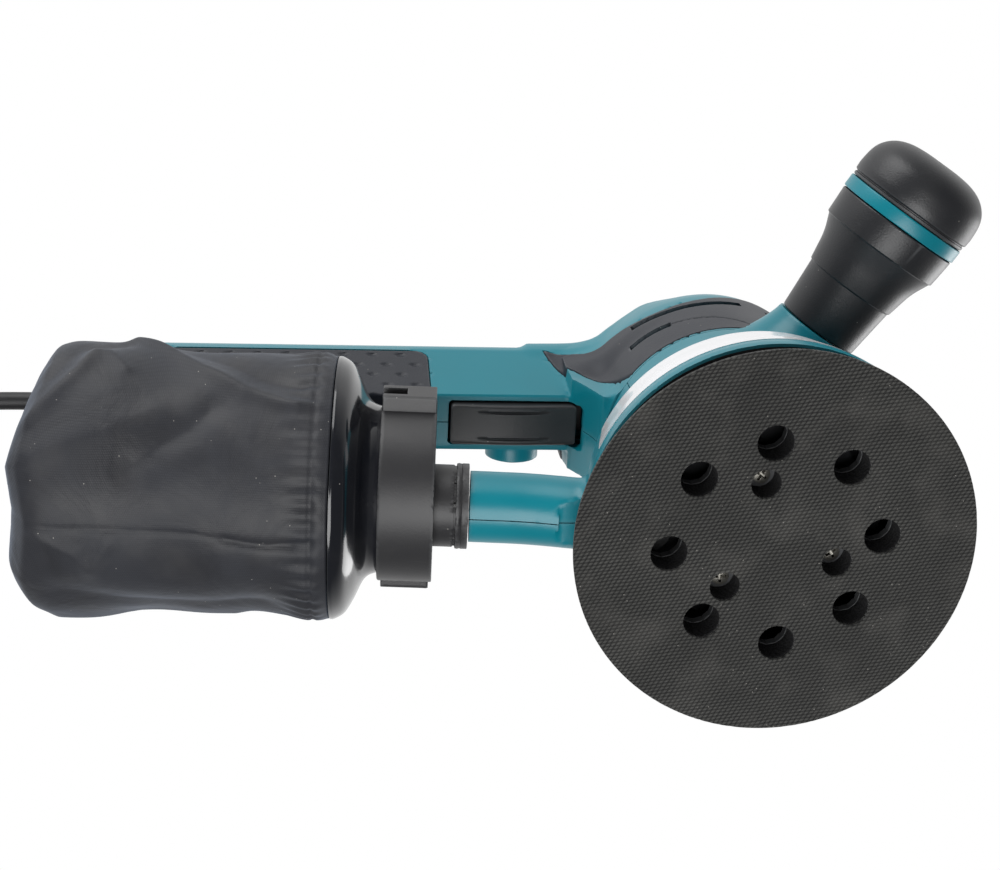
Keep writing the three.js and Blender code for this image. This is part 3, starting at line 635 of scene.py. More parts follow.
TEAL = srgb(0, 130, 146)
MATERIALS = {
    "teal_plastic": moulded("teal_plastic", TEAL, 0.34, grain=0.1, wear=0.2, dust=0.04),
    "housing_plastic": housing_material(),
    "black_plastic": moulded("black_plastic", srgb(44, 44, 46), 0.42, grain=0.2, wear=0.4, dust=0.2),
    "gloss_black": moulded("gloss_black", srgb(22, 24, 30), 0.14, grain=0.03, wear=0.2, dust=0.2,
                           Coat_Weight=0.3),
    "soft_rubber": moulded("soft_rubber", srgb(34, 38, 48), 0.48, grain=0.35, size=1400.0, wear=0.5,
                           dust=0.2),
    "label_film": moulded("label_film", srgb(244, 245, 248), 0.25, grain=0.02, wear=0.0, dust=0.1,
                          Coat_Weight=0.5),
    "knob_plastic": moulded("knob_plastic", srgb(40, 41, 44), 0.38, grain=0.3, wear=0.3, dust=0.2),
    "cord_sheath": moulded("cord_sheath", srgb(20, 20, 22), 0.45, grain=0.25, wear=0.2, dust=0.3),
    "hook_cloth": hook_material(),
    "foam": foam_material(),
    "bag_cloth": cloth_material(),
    "circuit_board": board_material(),
    "bright_steel": metal("bright_steel", srgb(190, 194, 200), 0.25),
    "dark_steel": metal("dark_steel", srgb(118, 116, 110), 0.34),
    "cast_aluminium": metal("cast_aluminium", srgb(92, 93, 96), 0.5),
    "copper_windings": metal("copper_windings", srgb(184, 108, 62), 0.35),
    "brass": metal("brass", srgb(200, 168, 90), 0.3),
    "carbon": moulded("carbon", srgb(40, 40, 42), 0.75, grain=0.4, wear=0.2),
}


# ---- Mains cord ----
LEAD = [
    (-232.3, 0, 125), (-246, 0, 124.6), (-260, 0, 122.6), (-274, 0, 118), (-287, 0, 110.4), (-298, 0, 100),
    (-306.5, 0, 87), (-312, 0, 72), (-315.5, 0, 56.5), (-319, 0, 41.5), (-324.5, 0, 28), (-333, 0, 16.6),
    (-344, 0, 8.8), (-356, 0, 4.7), (-368, 0, 3.5),
]
PLUG_AT = (COIL["at"][0] - 48, COIL["at"][1] - 48)
TAIL = [(PLUG_AT[0], COIL["at"][1] - 36, 9.4), (PLUG_AT[0], PLUG_AT[1] + GAP, 11)]


def coil_turns(per_turn=16):
    """Three turns inwards on the floor, three outwards on top, and one more that comes down outside.

    Each turn keeps its radius and height until its last fifth, where it eases over to the next turn's.
    """
    outer, middle, inner = COIL["radii"]
    outside = 2 * outer - middle
    low, step = COIL["first"], COIL["layer"]
    radii = np.array([outer, middle, inner, inner, middle, outer, outer, outside, outside])
    heights = np.array([low, low, low, low + step, low + step, low + step, low + 2 * step, low + 2 * step,
                        low])
    turn = np.arange(0.02, 7.26, 1 / per_turn)
    whole = np.floor(turn).astype(int)
    ease = np.clip((turn - whole - 0.8) / 0.2, 0, 1)
    ease = ease**2 * (3 - 2 * ease)
    r = radii[whole] * (1 - ease) + radii[whole + 1] * ease
    z = heights[whole] * (1 - ease) + heights[whole + 1] * ease
    falling = np.clip((turn - 7) / 0.25, 0, 1)
    z = z - 2 * step * falling**2 * (3 - 2 * falling)
    angle = TAU * (turn + 0.25)
    x, y = COIL["at"]
    return np.stack([x + r * np.cos(angle), y + r * np.sin(angle), z], -1)


def mains_cord():
    route = resampled(smooth_line(np.vstack([LEAD, coil_turns(), TAIL]), 6), 2.5)
    cord = piece("mains_cord", carried(route, circle(CORD_R, 14)), MATERIALS["cord_sheath"], "housing",
                 replaces=("cord_lead", "cord_coil", "cord_tail"))
    return cord, route


def cord_guard():
    """A tapered rubber sleeve with a stack of flex grooves, turned about the cord."""
    start, length = HANDLE["back"] - 0.6, HANDLE["back"] - 0.6 - GUARD_TIP[0]
    taper = lambda s: 7 - 2.1 * s / length
    profile = [(0, 0), (6.4, 0), (7, 0.8), (6.9, 3)]
    for groove in np.arange(5, length - 5, 4.2):
        for ds, dr in ((0, 0), (0.4, -1.1), (1.5, -1.1), (1.9, 0)):
            profile.append((taper(groove + ds) + dr, groove + ds))
    profile += [(taper(length) + 0.2, length - 2), (taper(length) - 0.3, length), (CORD_R + 0.1, length),
                (0, length)]
    points, faces = turned(profile, 48)
    placed = np.stack([start - points[:, 2], points[:, 1], GUARD_TIP[1] + points[:, 0]], -1)
    piece("cord_sleeve", (placed, faces), MATERIALS["soft_rubber"], "housing",
          replaces=("cord_guard",))


def plug():
    """A moulded two-pin plug: a waisted flat body with finger ridges."""
    x, y = PLUG_AT
    half = rounded([(-6, 0), (-7.5, -8), (-17.5, -20), (-17.5, -38), (17.5, -38), (17.5, -20), (7.5, -8),
                    (6, 0)], 4)
    plan = chart(half, (-24, -44), (24, 6))

    def body(p):
        u, v, w = p[:, 0] - x, p[:, 1] - y + 0.6, p[:, 2]
        shape = meet(plan(u, v), slab(w, 0.4, 22), 3.5)
        ridges = np.maximum(np.abs(np.mod(v, 3) - 1.5) - 0.6, slab(v, -31, -22))
        pins = np.hypot(np.abs(u) - 9.5, w - 11) - 2.5
        shape = np.maximum(shape, -np.maximum(ridges, 16.9 - np.abs(u)))
        return np.maximum(shape, -np.maximum(pins, v + 30))

    low, high = (x - 19, y - 41, -0.5), (x + 19, y + 2, 23)
    made = piece("mains_plug", contour(body, low, high, 0.7), MATERIALS["black_plastic"], "housing",
                 replaces=("plug_body",), weld=False)
    return made


def cord_tie():
    """A hook-and-loop strap round one side of the coil: a rounded loop of even thickness."""
    low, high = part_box("cord_tie")
    low, high = np.array(low) / MM, np.array(high) / MM
    centre_x, centre_z = (low[0] + high[0]) / 2, (low[2] + high[2]) / 2
    half = np.array([high[0] - low[0], high[2] - low[2]]) / 2
    corners = np.array([(-1, -1), (1, -1), (1, 1), (-1, 1)])
    outer = rounded(corners * half, 5, 8)
    inner = rounded(corners * (half - 1.1), 4.2, 8)
    rows = []
    for ring, y in ((inner, low[1]), (outer, low[1]), (outer, high[1]), (inner, high[1])):
        rows.append(np.stack([centre_x + ring[:, 0], np.full(len(ring), y), centre_z + ring[:, 1]], -1))
    surface = (np.vstack(rows), grid_faces(4, len(outer), close_rows=True))
    return piece("cord_strap", surface, MATERIALS["bag_cloth"], "housing",
                 replaces=("cord_tie",))


cord, cord_route = mains_cord()
cord_guard()
plug()
cord_tie()


# ---- Housing ----
body_wall = smooth_line([
    (47.9, 50), (44, 62), (42, 74), (BODY_R, 86), (BODY_R, 104), (BODY_R, 123), (40.8, 130), (39, 136.5),
    (35.6, 142.5), (30, 147.6), (20, 151.8), (9, 153.3), (0, DOME_Z),
], 6)
skirt_wall = np.array([(58, SKIRT_Z), (58, 20), (56.2, 30), (54, 40), (52.4, 48), (51.2, 49.6)])
body_half = np.vstack([skirt_wall, body_wall])
body_chart = chart(np.vstack([body_half, (body_half * [-1, 1])[::-1]]), (0, 10), (76, 162))

h = HANDLE
handle_outline = rounded(
    [(-10, h["top"]), (h["back"], h["top"]), (h["back"], h["bottom"]), (WEB_BACK, h["bottom"]), (-46, 98),
     (-42, 88), (-10, 88)],
    [1, h["corner"], h["corner"], 2, 4, 1, 1], 8)
handle_chart = chart(handle_outline, (-212, 76), (0, 166))
quarter = np.linspace(0, math.pi / 2, 12)
shoulder = np.stack([h["half"] + h["round"] * (np.cos(quarter) - 1),
                     h["top"] + h["round"] * (np.sin(quarter) - 1)], -1)
keel = rounded([(-h["half"], HANDLE_WAIST), (-KEEL_HALF, h["bottom"]), (KEEL_HALF, h["bottom"]),
                (h["half"], HANDLE_WAIST)], [0, 1.2, 1.2, 0], 5, closed=False)
section_outline = np.vstack([shoulder, shoulder[::-1] * [-1, 1], keel])
section_chart = chart(section_outline, (-60, 60), (60, 172), 0.4)

flank = smooth_line([(-62, 17), (-48, 17.6), (-42, 19), (-37.5, 21.2), (-33.7, 24.4), (-27, 29.5),
                     (-20, 33.6),
                     (-8, 35)], 4)
flank_outline = np.vstack([flank * [1, -1], flank[::-1]])
flank_chart = chart(flank_outline, (-75, -45), (5, 45))

duct_line = smooth_line([(-40, 20.2), (-44, 21), (-58, 24.4), (-74, 28), DUCT_END, (-95.5, 30.1)], 6)
duct_chart = chart(duct_line, (-112, 4), (-24, 58), closed=False)


def motor_body(p):
    return body_chart(np.hypot(p[:, 0], p[:, 1]), p[:, 2])


def handle_bar(p):
    """A bar with a waisted section, cut to the handle's side outline, over a thinner web under its front end.

    Its edges are sharp along the bar and well rounded at its back end.
    """
    x, y, z = p.T
    web = np.maximum(np.maximum(np.abs(y) - WEB_HALF, slab(z, 80, 128)), WEB_BACK - x)
    blend = np.interp(x, [h["back"] + 7, h["back"] + 19], [4, 0.5])
    return meet(handle_chart(x, z), melt(section_chart(y, z), web, 1), blend)


def outer_skin(p):
    """The housing's whole outside: the body, the handle, and the flanks that join them."""
    x, y, z = p.T
    flanks = meet(flank_chart(x, y), slab(z, 113, 148.5), 9)
    flanks = meet(flanks, -np.maximum(x - WEB_BACK, z - HANDLE_WAIST), 8)
    return melt(melt(motor_body(p), handle_bar(p), 5), flanks, 5)


def duct(p, r):
    along = (p - dust_at) @ dust_out
    return np.maximum(np.hypot(duct_chart(p[:, 0], p[:, 2]), p[:, 1]) - r, along)


def cavity(p):
    """The hollow for the motor, fan and handle parts."""
    radius, z = np.hypot(p[:, 0], p[:, 1]), p[:, 2]
    inner_wall = np.where(slab(z, COLLAR_Z[0] - WALL, COLLAR_Z[1] + WALL) < 0, GROOVE_R - WALL, 200)
    body = np.maximum(motor_body(p) + WALL, radius - inner_wall)
    below = np.maximum(radius - 55.2, slab(z, SKIRT_Z - 3, SKIRT_Z + WALL + 1))
    return np.minimum(np.minimum(body, below), handle_bar(p) + WALL)


panel_outline = np.vstack([
    smooth_line([(-58, 135), (-52.5, 120), (-45, 108), (-39, 99.5), (-35, 90)], 5)[:-1],
    rounded([(-35, 90), (-33.6, 87.2), (14, 87.2), (30.5, 100), (31, 129.5), (24, 130.5)],
            [0, 2, 6, 6, 2, 0], 5)[1:],
    smooth_line([(24, 130.5), (15, 128.5), (7.3, 126), (0, 123.8), (-7, 122.1), (-13.9, 121.4),
                 (-20.5, 121.1),
                 (-25.5, 122.3), (-30.8, 125.4), (-36.8, 127.8), (-43.4, 128.2), (-50, 131.5), (-58, 135)],
                 4)[:-1],
])
panel_chart = chart(panel_outline, (-66, 80), (38, 146), 0.3)
grip_outline = rounded([(-192, 104), (-98.5, 104), (-98.5, 131), (-101.5, 134), (-192, 134)],
                       [3, 3, 2, 3, 5], 5)
grip_chart = chart(grip_outline, (-198, 102), (-92, 142), 0.3)
RUBBER = 1.2


def rubber_zone(p):
    return np.minimum(panel_chart(p[:, 0], p[:, 2]), grip_chart(p[:, 0], p[:, 2]))


def lock_guard(p, r):
    return cross_rod(p, *LOCK_AT, r)


def housing_field(p):
    """The housing's plastic: skin less hollow, with the bosses, and cut for every piece that fits into it."""
    x, y, z = p.T
    skin = outer_skin(p)
    radius = np.hypot(x, y)
    solid = melt(np.maximum(skin, -cavity(p)), duct(p, DUCT_R), 3)
    for bx, bz, _ in SCREWS:
        solid = np.minimum(solid, np.maximum(cross_rod(p, bx, bz, 5.4), skin + 0.5))
    guard = np.maximum(lock_guard(p, 9.4), slab(y, 13, 20.7))
    solid = melt(solid, guard, 1.2)
    groove = np.maximum(slab(z, *COLLAR_Z), GROOVE_R - radius)
    solid = np.maximum(solid, -groove)
    solid = np.maximum(solid, -np.maximum(radius - PAD_R - 4, z - SKIRT_Z + 0.5))
    bore = np.maximum(np.hypot(duct_chart(x, z), y) - BORE_R, (p - dust_at) @ dust_out - 5)
    duct_floor = np.maximum(radius - PAD_R - 4.5, z - SKIRT_Z - 1)
    solid = np.maximum(solid, -np.maximum(bore, -duct_floor))
    recess = np.maximum(np.maximum(rubber_zone(p), -skin - RUBBER - GAP), 4 - np.abs(y))
    solid = np.maximum(solid, -recess)
    window_back, window_front = TRIGGER["back"] - 0.8, TRIGGER["front"] + 1.8
    window = brick(x - (window_back + window_front) / 2, y, (window_front - window_back) / 2,
                   TRIGGER["half"] + 0.8, 1.5)
    solid = np.maximum(solid, -np.maximum(window, slab(z, 96, 119)))
    solid = np.maximum(solid, -np.maximum(lock_guard(p, 6.2), slab(y, 9, 30)))
    dial_slot = np.maximum(brick(x - DIAL_AT[0], y, 13, 4.2, 1), slab(z, 133.6, 160))
    solid = np.maximum(solid, -dial_slot)
    gland = np.hypot(y, z - GUARD_TIP[1]) - 5.2
    solid = np.maximum(solid, -np.maximum(gland, x + 187))
    for bx, bz, top in SCREWS:
        well = np.minimum(np.maximum(cross_rod(p, bx, bz, 3.8), top - 3 - y),
                          np.maximum(cross_rod(p, bx, bz, 2.1), -5.5 - y))
        solid = np.maximum(solid, -well)
    return solid


def housing():
    for name, sign in (("left", 1), ("right", -1)):
        half = lambda p: np.maximum(housing_field(p), SEAM - sign * p[:, 1])
        low = (-202, -1 if sign > 0 else -61, 14)
        high = (61, 61 if sign > 0 else 1, 156)
        piece(f"housing_shell_{name}", contour(half, low, high, 1.25), MATERIALS["housing_plastic"],
              "housing",
              replaces=(f"housing_{name}",), weld=False)


VENTS = [
    smooth_line([(-29, 119.8), (-22, 117.6), (-14, 116.6), (-4, 116.2), (8.5, 117.5)], 6),
    smooth_line([(17.5, 117), (24, 116)], 2),
    smooth_line([(-31, 106.5), (-25, 105.5), (-18, 104)], 6),
]
VENT_HALF = 1.9
vent_charts = [chart(line, (-66, 80), (38, 146), closed=False) for line in VENTS]
crease_line = smooth_line([(-18.2, 104.1), (-10.8, 102.1), (-3.4, 99.7), (4.3, 95.5), (10.2, 89.3)], 6)
crease_chart = chart(crease_line, (-66, 80), (38, 146), closed=False)


def rubber_parts():
    """Rubber laid into the housing's recesses: side panels with slots and a crease, and dimpled grips."""
    def panel(p, sign):
        x, y, z = p.T
        skin = outer_skin(p)
        crease = 0.6 * np.clip(1.6 - 2 * crease_chart(x, z), 0, 1)
        shape = np.maximum(meet(panel_chart(x, z) + GAP, skin - 0.2 + crease, 0.5), -skin - RUBBER)
        for line, slot_chart in zip(VENTS, vent_charts):
            ends = slab(x, line[0, 0], line[-1, 0])
            shape = np.maximum(shape, -np.maximum(slot_chart(x, z) - VENT_HALF, ends))
        return np.maximum(shape, 4 - sign * y)

    def grip(p, sign):
        x, y, z = p.T
        row = np.round((z - 131) / 6)
        across = np.mod(x + 103.5 + 4.95 * np.mod(row, 2), 9.9) - 4.95
        dimple = np.hypot(across / 1.6, (z - 131 - 6 * row) / 0.9) - 1
        pit = 0.5 * np.clip(0.5 - dimple, 0, 1) * (grip_chart(x, z) < -2)
        skin = outer_skin(p)
        shape = np.maximum(meet(grip_chart(x, z) + GAP, skin - 0.2 + pit, 0.5), -skin - RUBBER)
        if sign > 0:
            well_x, well_z, top = SCREWS[0]
            shape = np.maximum(shape, -np.maximum(cross_rod(p, well_x, well_z, 3.8), top - 3 - y))
        return np.maximum(shape, 4 - sign * y)

    for side, sign in (("left", 1), ("right", -1)):
        for name, make, low, high, cell, node_name in (
            ("side_panel", panel, (-61, 8, 84), (34, 45, 138), 0.6, "rubber_panel"),
            ("dimpled_grip", grip, (-194, 3, 106), (-96, 19, 137), 0.55, "handle_grip"),
        ):
            ys = sorted((low[1] * sign, high[1] * sign))
            surface = contour(lambda p: make(p, sign), (low[0], ys[0], low[2]), (high[0], ys[1], high[2]),
                              cell)
            piece(f"{name}_{side}", surface, MATERIALS["soft_rubber"], "housing",
                  replaces=(f"{node_name}_{side}",), weld=False)


def label():
    """A blank printed band wrapped on the skirt's cone: radius falls evenly with height."""
    angle = np.radians(np.linspace(-158, -31, 96))
    height = np.linspace(24, 47, 16)
    r = np.interp(height, skirt_wall[:, 1], skirt_wall[:, 0]) + 0.15
    outer = np.stack([r[:, None] * np.cos(angle), r[:, None] * np.sin(angle), height[:, None] + 0 * angle],
                     -1)
    inner = outer - 0.35 * np.stack([np.cos(angle), np.sin(angle), 0 * angle], -1)[None]
    rows = np.concatenate([outer, inner[::-1]])
    points, faces = rows.reshape(-1, 3), grid_faces(len(rows), len(angle), close_rows=True,
                                                    close_columns=False)
    count, last = len(angle), len(rows) - 1
    sides = []
    for k in (0, count - 1):
        i = np.arange(len(height) - 1)
        sides.append(np.stack([i * count, (i + 1) * count, (last - i - 1) * count, (last - i) * count],
                              -1) + k)
    return piece("label_strip", (points, np.vstack([faces, *sides])), MATERIALS["label_film"], "housing",
                 replaces=("label_band",))


def screw_head(r, depth):
    """A domed screw head with a cross recess, its top at zero and drawn up along Z."""
    def shape(p):
        x, y, z = p.T
        radius = np.hypot(x, y)
        dome = np.maximum(radius - r, z + 0.09 * radius**2 / r)
        head = np.maximum(meet(dome, slab(z, -depth, 0.2), 0.25), slab(z, -depth, 0.2))
        arms = np.minimum(np.maximum(np.abs(x) - 0.42, np.abs(y) - 0.68 * r),
                          np.maximum(np.abs(y) - 0.42, np.abs(x) - 0.68 * r))
        return np.maximum(head, -np.maximum(arms, -z - depth * 0.75 + 0.2 * radius))
    return contour(shape, (-r - 0.4, -r - 0.4, -depth - 0.4), (r + 0.4, r + 0.4, 0.6), 0.14)


def screws():
    points, faces = screw_head(3.2, 2.4)
    shank = turned([(0, -20), (1.6, -20), (1.7, -18), (1.7, -2.4), (0, -2.4)], 16)
    for i, (x, z, top) in enumerate(SCREWS):
        whole = joined((points, faces), shank)
        placed = np.stack([x + whole[0][:, 0], top - 0.3 + whole[0][:, 2], z - whole[0][:, 1]], -1)
        piece(f"case_screw_{i + 1}", (placed, whole[1]), MATERIALS["dark_steel"], "housing",
              replaces=(f"housing_screw_{i + 1}",), weld=False)


# ---- Controls ----
def trigger():
    back, front, half, bottom = (TRIGGER[k] for k in ("back", "front", "half", "bottom"))
    side = np.vstack([
        smooth_line([(back, bottom + 1.5), ((back + front) / 2, bottom + 0.1), (front, bottom + 1.5)], 8),
        [(front, 114.5), (-78, 116.5), (-80, 124), (back + 1, 124), (back, 114)],
    ])
    outline = chart(side, (-98, 98), (-42, 130), 0.3)

    def paddle(p):
        x, y, z = p.T
        shape = meet(outline(x, z), np.abs(y) - half, 1.6)
        lip = np.hypot(np.abs(y) - half + 2.4, z - bottom - 0.6 + 0.3) - 0.55
        groove = np.maximum(lip, slab(x, back + 3, front - 3))
        pin = cross_rod(p, -88, 120, 1.9)
        return np.maximum(np.maximum(shape, -groove), -pin)

    return piece("trigger_paddle", contour(paddle, (-94, -9, 101.5), (-46, 9, 126), 0.5),
                 MATERIALS["black_plastic"],
                 "trigger", replaces=("trigger",), weld=False)


def along_y(surface, x, z):
    """A drawing along Z laid along +Y, centred on (x, z)."""
    points, faces = surface
    return np.stack([x + points[:, 0], points[:, 2], z - points[:, 1]], -1), faces


def lock_button():
    profile = rounded([(0, 12), (5.8, 12), (5.8, 22.4), (4.2, 22.0), (0, 21.8)], [0.1, 0.3, 0.9, 0.6, 0.1],
                      6, closed=False)
    piece("lock_plunger", along_y(turned(profile, 64), *LOCK_AT), MATERIALS["black_plastic"], "lock_button",
          replaces=("lock_button",))


def dial():
    """A thumbwheel: twenty rounded teeth, each row of points drawn in where its rim is bevelled."""
    angle = np.arange(240) * TAU / 240
    teeth = 11.6 + 0.4 * np.clip(1.6 * np.cos(20 * angle), -1, 1)
    rows = []
    for scale, y in ((0, -3.4), (0.93, -3.4), (1, -2.9), (1, 2.9), (0.93, 3.4), (0, 3.4)):
        rows.append(np.stack([teeth * scale * np.cos(angle), teeth * scale * np.sin(angle),
                              np.full(240, y)], -1))
    surface = np.vstack(rows), grid_faces(6, 240)
    piece("speed_wheel", along_y(surface, *DIAL_AT), MATERIALS["black_plastic"], "speed_dial",
          replaces=("speed_dial",))


# ---- Side grip ----
collar_wall = smooth_line([(47.75, 50.3), (44, 62), (42, 74), (41.5, 85.7)], 8)
neck_line = smooth_line([(36, 20), (39, 18.5), (43.5, 16.5), (47.5, 15.2), (50.4, 14.6)], 8)
neck_half = np.vstack([neck_line, (neck_line * [1, -1])[::-1]])
neck_chart = chart(neck_half, (28, -32), (58, 32))


def collar_field(p, front):
    """The swivel collar, drawn with the knob along +X, with a large fillet up to the neck in front."""
    x, y, z = p.T
    radius = np.hypot(x, y)
    ring = np.maximum(radius - np.interp(z, collar_wall[:, 1], collar_wall[:, 0]), slab(z, 50.3, 85.7))
    shape = ring
    if front:
        neck = np.maximum(neck_chart(x, np.hypot(y, z - KNOB_Z)), x - 50.4)
        shape = melt(ring, neck, 3.5)
        shape = np.maximum(np.maximum(shape, x - 50.4), -x)
        shape = np.maximum(shape, 50.3 - z)
        shape = np.maximum(shape, 4.3 - np.hypot(y, z - KNOB_Z))
    else:
        shape = np.maximum(shape, x + GAP)
        for side in (1, -1):
            well = brick(y - side * 41.4, z - 56, 3.2, 3.2, 0.8)
            shape = np.maximum(shape, -np.maximum(well, x + 2.6))
    clamp = np.hypot(np.abs(y) - 41.4, z - 56) - 1.7
    shape = np.maximum(shape, -np.maximum(clamp, np.abs(x) - 10))
    shape = np.maximum(shape, GROOVE_R + GAP - radius)
    return np.maximum(shape, -np.maximum(radius - BODY_R - 0.8, 85.7 - z))


def side_grip():
    for name, front, low, high, node_name in (
        ("swivel_collar", True, (-1, -50, 49), (52, 50, 108), "grip_collar"),
        ("collar_band", False, (-50, -50, 49), (1, 50, 88), "collar_strap"),
    ):
        points, faces = contour(lambda p: collar_field(p, front), low, high, 1.0)
        piece(name, (spun(points, KNOB_ANGLE), faces), MATERIALS["teal_plastic"], "front_grip",
              replaces=(node_name,), weld=False)

    def knob_part(name, corners, radius, material, node_name):
        points, faces = turned([(r, s) for s, r in rounded(corners, radius, 5, closed=False)], 144)
        piece(name, (to_knob(points), faces), MATERIALS[material], "knob", replaces=(node_name,))

    low, high = KNOB_BAND
    knob_part("knob_grip", [
        (50.8, 0), (50.8, 14), (58, 14.6), (68.2, 15.5), (68.5, 16), (78, 17.7), (83.9, 20.3), (84.2, 20.9),
        (low - GAP, 21.5), (low - GAP, 17), (104, 17), (104, 0),
    ], [0.1, 0.7, 3, 0.2, 0.2, 3, 0.2, 0.2, 0.6, 0.3, 0.3, 0.1], "knob_plastic",
    "knob_body")
    band = rounded([(17.3, low), (21.8, low), (21.8, high), (17.3, high)], [0.2, 0.5, 0.5, 0.2], 5)
    points, faces = turned(band, 144, closed=True)
    piece("knob_ring", (to_knob(points), faces), MATERIALS["teal_plastic"], "knob",
          replaces=("knob_band",))
    lip = [(104.3, 0), (104.3, 17.3), (high + GAP, 17.3), (high + GAP, 21.3), (99.1, 21.6), (99.8, 21.6),
           (100, 21.2),
           (100.3, 21.2), (100.5, 21.7)]
    crown = smooth_line([(100.8, 22), (104, 22.1), (109, 21.4), (112.5, 19.6), (115.3, 16.4), (117, 12),
                         (117.7, 6.5), (117.8, 0)], 6)
    points, faces = turned(np.vstack([lip, crown])[:, ::-1], 144)
    piece("knob_crown", (to_knob(points), faces), MATERIALS["knob_plastic"], "knob",
          replaces=("knob_cap",))


# ---- Sanding pad ----
def pad_openings(p):
    """Distance to the nearest dust hole or screw well."""
    x, y = p[:, 0] + ORBIT, p[:, 1]
    found = np.full(len(p), 1e3)
    for spec, r in ((DUST_HOLE, DUST_HOLE["r"]), (PAD_SCREW, PAD_SCREW["well"])):
        for k in range(spec["count"]):
            a = math.radians(spec["first"] + 360 * k / spec["count"])
            gap_here = np.hypot(x - spec["ring"] * math.cos(a), y - spec["ring"] * math.sin(a)) - r
            found = np.minimum(found, gap_here)
    return found


def sanding_pad():
    def disc(r_low, r_high, z_low, z_high, edge):
        def shape(p):
            radius = np.hypot(p[:, 0] + ORBIT, p[:, 1])
            rim = radius - np.interp(p[:, 2], [z_low, z_high], [r_low, r_high])
            solid = meet(rim, slab(p[:, 2], z_low, z_high), edge)
            return meet(solid, -pad_openings(p), edge)
        low = (-PAD_R - ORBIT - 1.5, -PAD_R - 1.5, z_low - 1.5)
        high = (PAD_R - ORBIT + 1.5, PAD_R + 1.5, z_high + 1.5)
        return lambda cell: contour(shape, low, high, cell)

    face = disc(PAD_R, PAD_R - 0.1, 0, 1.5, 0.35)(0.75)
    piece("hook_face", face, MATERIALS["hook_cloth"], "pad", replaces=("pad_hook_face",),
          weld=False)
    foam = disc(PAD_R - 0.2, PAD_R - 4, 1.8, 10.9, 0.4)(1.1)
    piece("pad_foam", foam, MATERIALS["foam"], "pad", replaces=("pad_cushion",), weld=False)
    points, faces = screw_head(2.7, 3)
    shank = turned([(0, -11), (1.9, -11), (2, -10), (2, -2.9), (0, -2.9)], 16)
    whole, whole_faces = joined((points, faces), shank)
    for k in range(PAD_SCREW["count"]):
        a = math.radians(PAD_SCREW["first"] + 360 * k / PAD_SCREW["count"])
        downwards = spun(whole, 0.6 + k) * [1, -1, -1]
        placed = downwards + [PAD_SCREW["ring"] * math.cos(a) - ORBIT, PAD_SCREW["ring"] * math.sin(a), 7.8]
        piece(f"pad_bolt_{k + 1}", (placed, whole_faces), MATERIALS["dark_steel"], "pad",
              replaces=(f"pad_screw_{k + 1}",), weld=False)


# ---- Dust nozzle, bag frame and bag ----
def nozzle_field(p):
    x, y, z = p.T
    tube_r, cup_r = np.hypot(x, y), np.hypot(x - BAG_UP, y)
    tube = meet(tube_r - 12.7, slab(z, 0.4, 13), 0.3)
    for z_low, z_high in ((0.4, 2.6), (3, 4.2)):
        tube = np.minimum(tube, meet(tube_r - 13.2, slab(z, z_low, z_high), 0.4))
    grooves = np.minimum(slab(z, 2.6, 3), slab(z, 4.2, 5))
    tube = np.maximum(tube, -np.maximum(grooves, 12.2 - tube_r))
    cup = meet(cup_r - 28.6, slab(z, 11, 28), 0.7)
    cup = np.maximum(cup, -np.maximum(cup_r - 26.6, 13.4 - z))
    latch = meet(brick(x - BAG_UP, y + 30, 5.8, 2.7, 0.8), slab(z, 11.2, 27.8), 0.5)
    slot = np.maximum(brick(x - BAG_UP, y + 33, 2.9, 2.6, 0.3), 20.3 - z)
    rib = meet(brick(x - BAG_UP, y - 28.8, 7, 1.8, 0.8), slab(z, 12, 27), 0.5)
    solid = np.minimum(tube, cup)
    solid = np.minimum(solid, np.maximum(np.minimum(latch, rib), 27.5 - cup_r))
    solid = np.maximum(solid, -slot)
    solid = np.maximum(solid, -np.maximum(tube_r - DUCT_R - GAP, z - 9))
    return np.maximum(solid, 9 - tube_r)


def dust_nozzle():
    points, faces = contour(nozzle_field, (-18, -34, -1), (43, 32, 29), 0.7)
    piece("bag_coupling", (to_dust(points), faces), MATERIALS["black_plastic"], "dust_nozzle",
          replaces=("dust_nozzle",), weld=False)


def bag_frame():
    outer = smooth_line([(26.2, 16), (26.2, 24), (26.3, 28.6), (28.4, 32), (34.6, 35), (39, 37.6),
                         (41, 40.6),
                         (41.2, 42)], 6)
    inner = smooth_line([(39.6, 42), (37.4, 39.4), (32.6, 36.8), (26.6, 34), (24.4, 30), (24.2, 22),
                         (24.2, 16)], 4)
    points, faces = turned(np.vstack([outer, inner]), 160, closed=True)
    piece("bag_collar", (to_dust(points + [BAG_UP, 0, 0]), faces), MATERIALS["gloss_black"], "dust_bag",
          replaces=("bag_frame",))


BAG_END = ((-100, 84), (-123, 86), (-154, 90), (-166, 88.5), (-178, 87.3), (-191, 88), (-209, 90),
           (-260, 87))
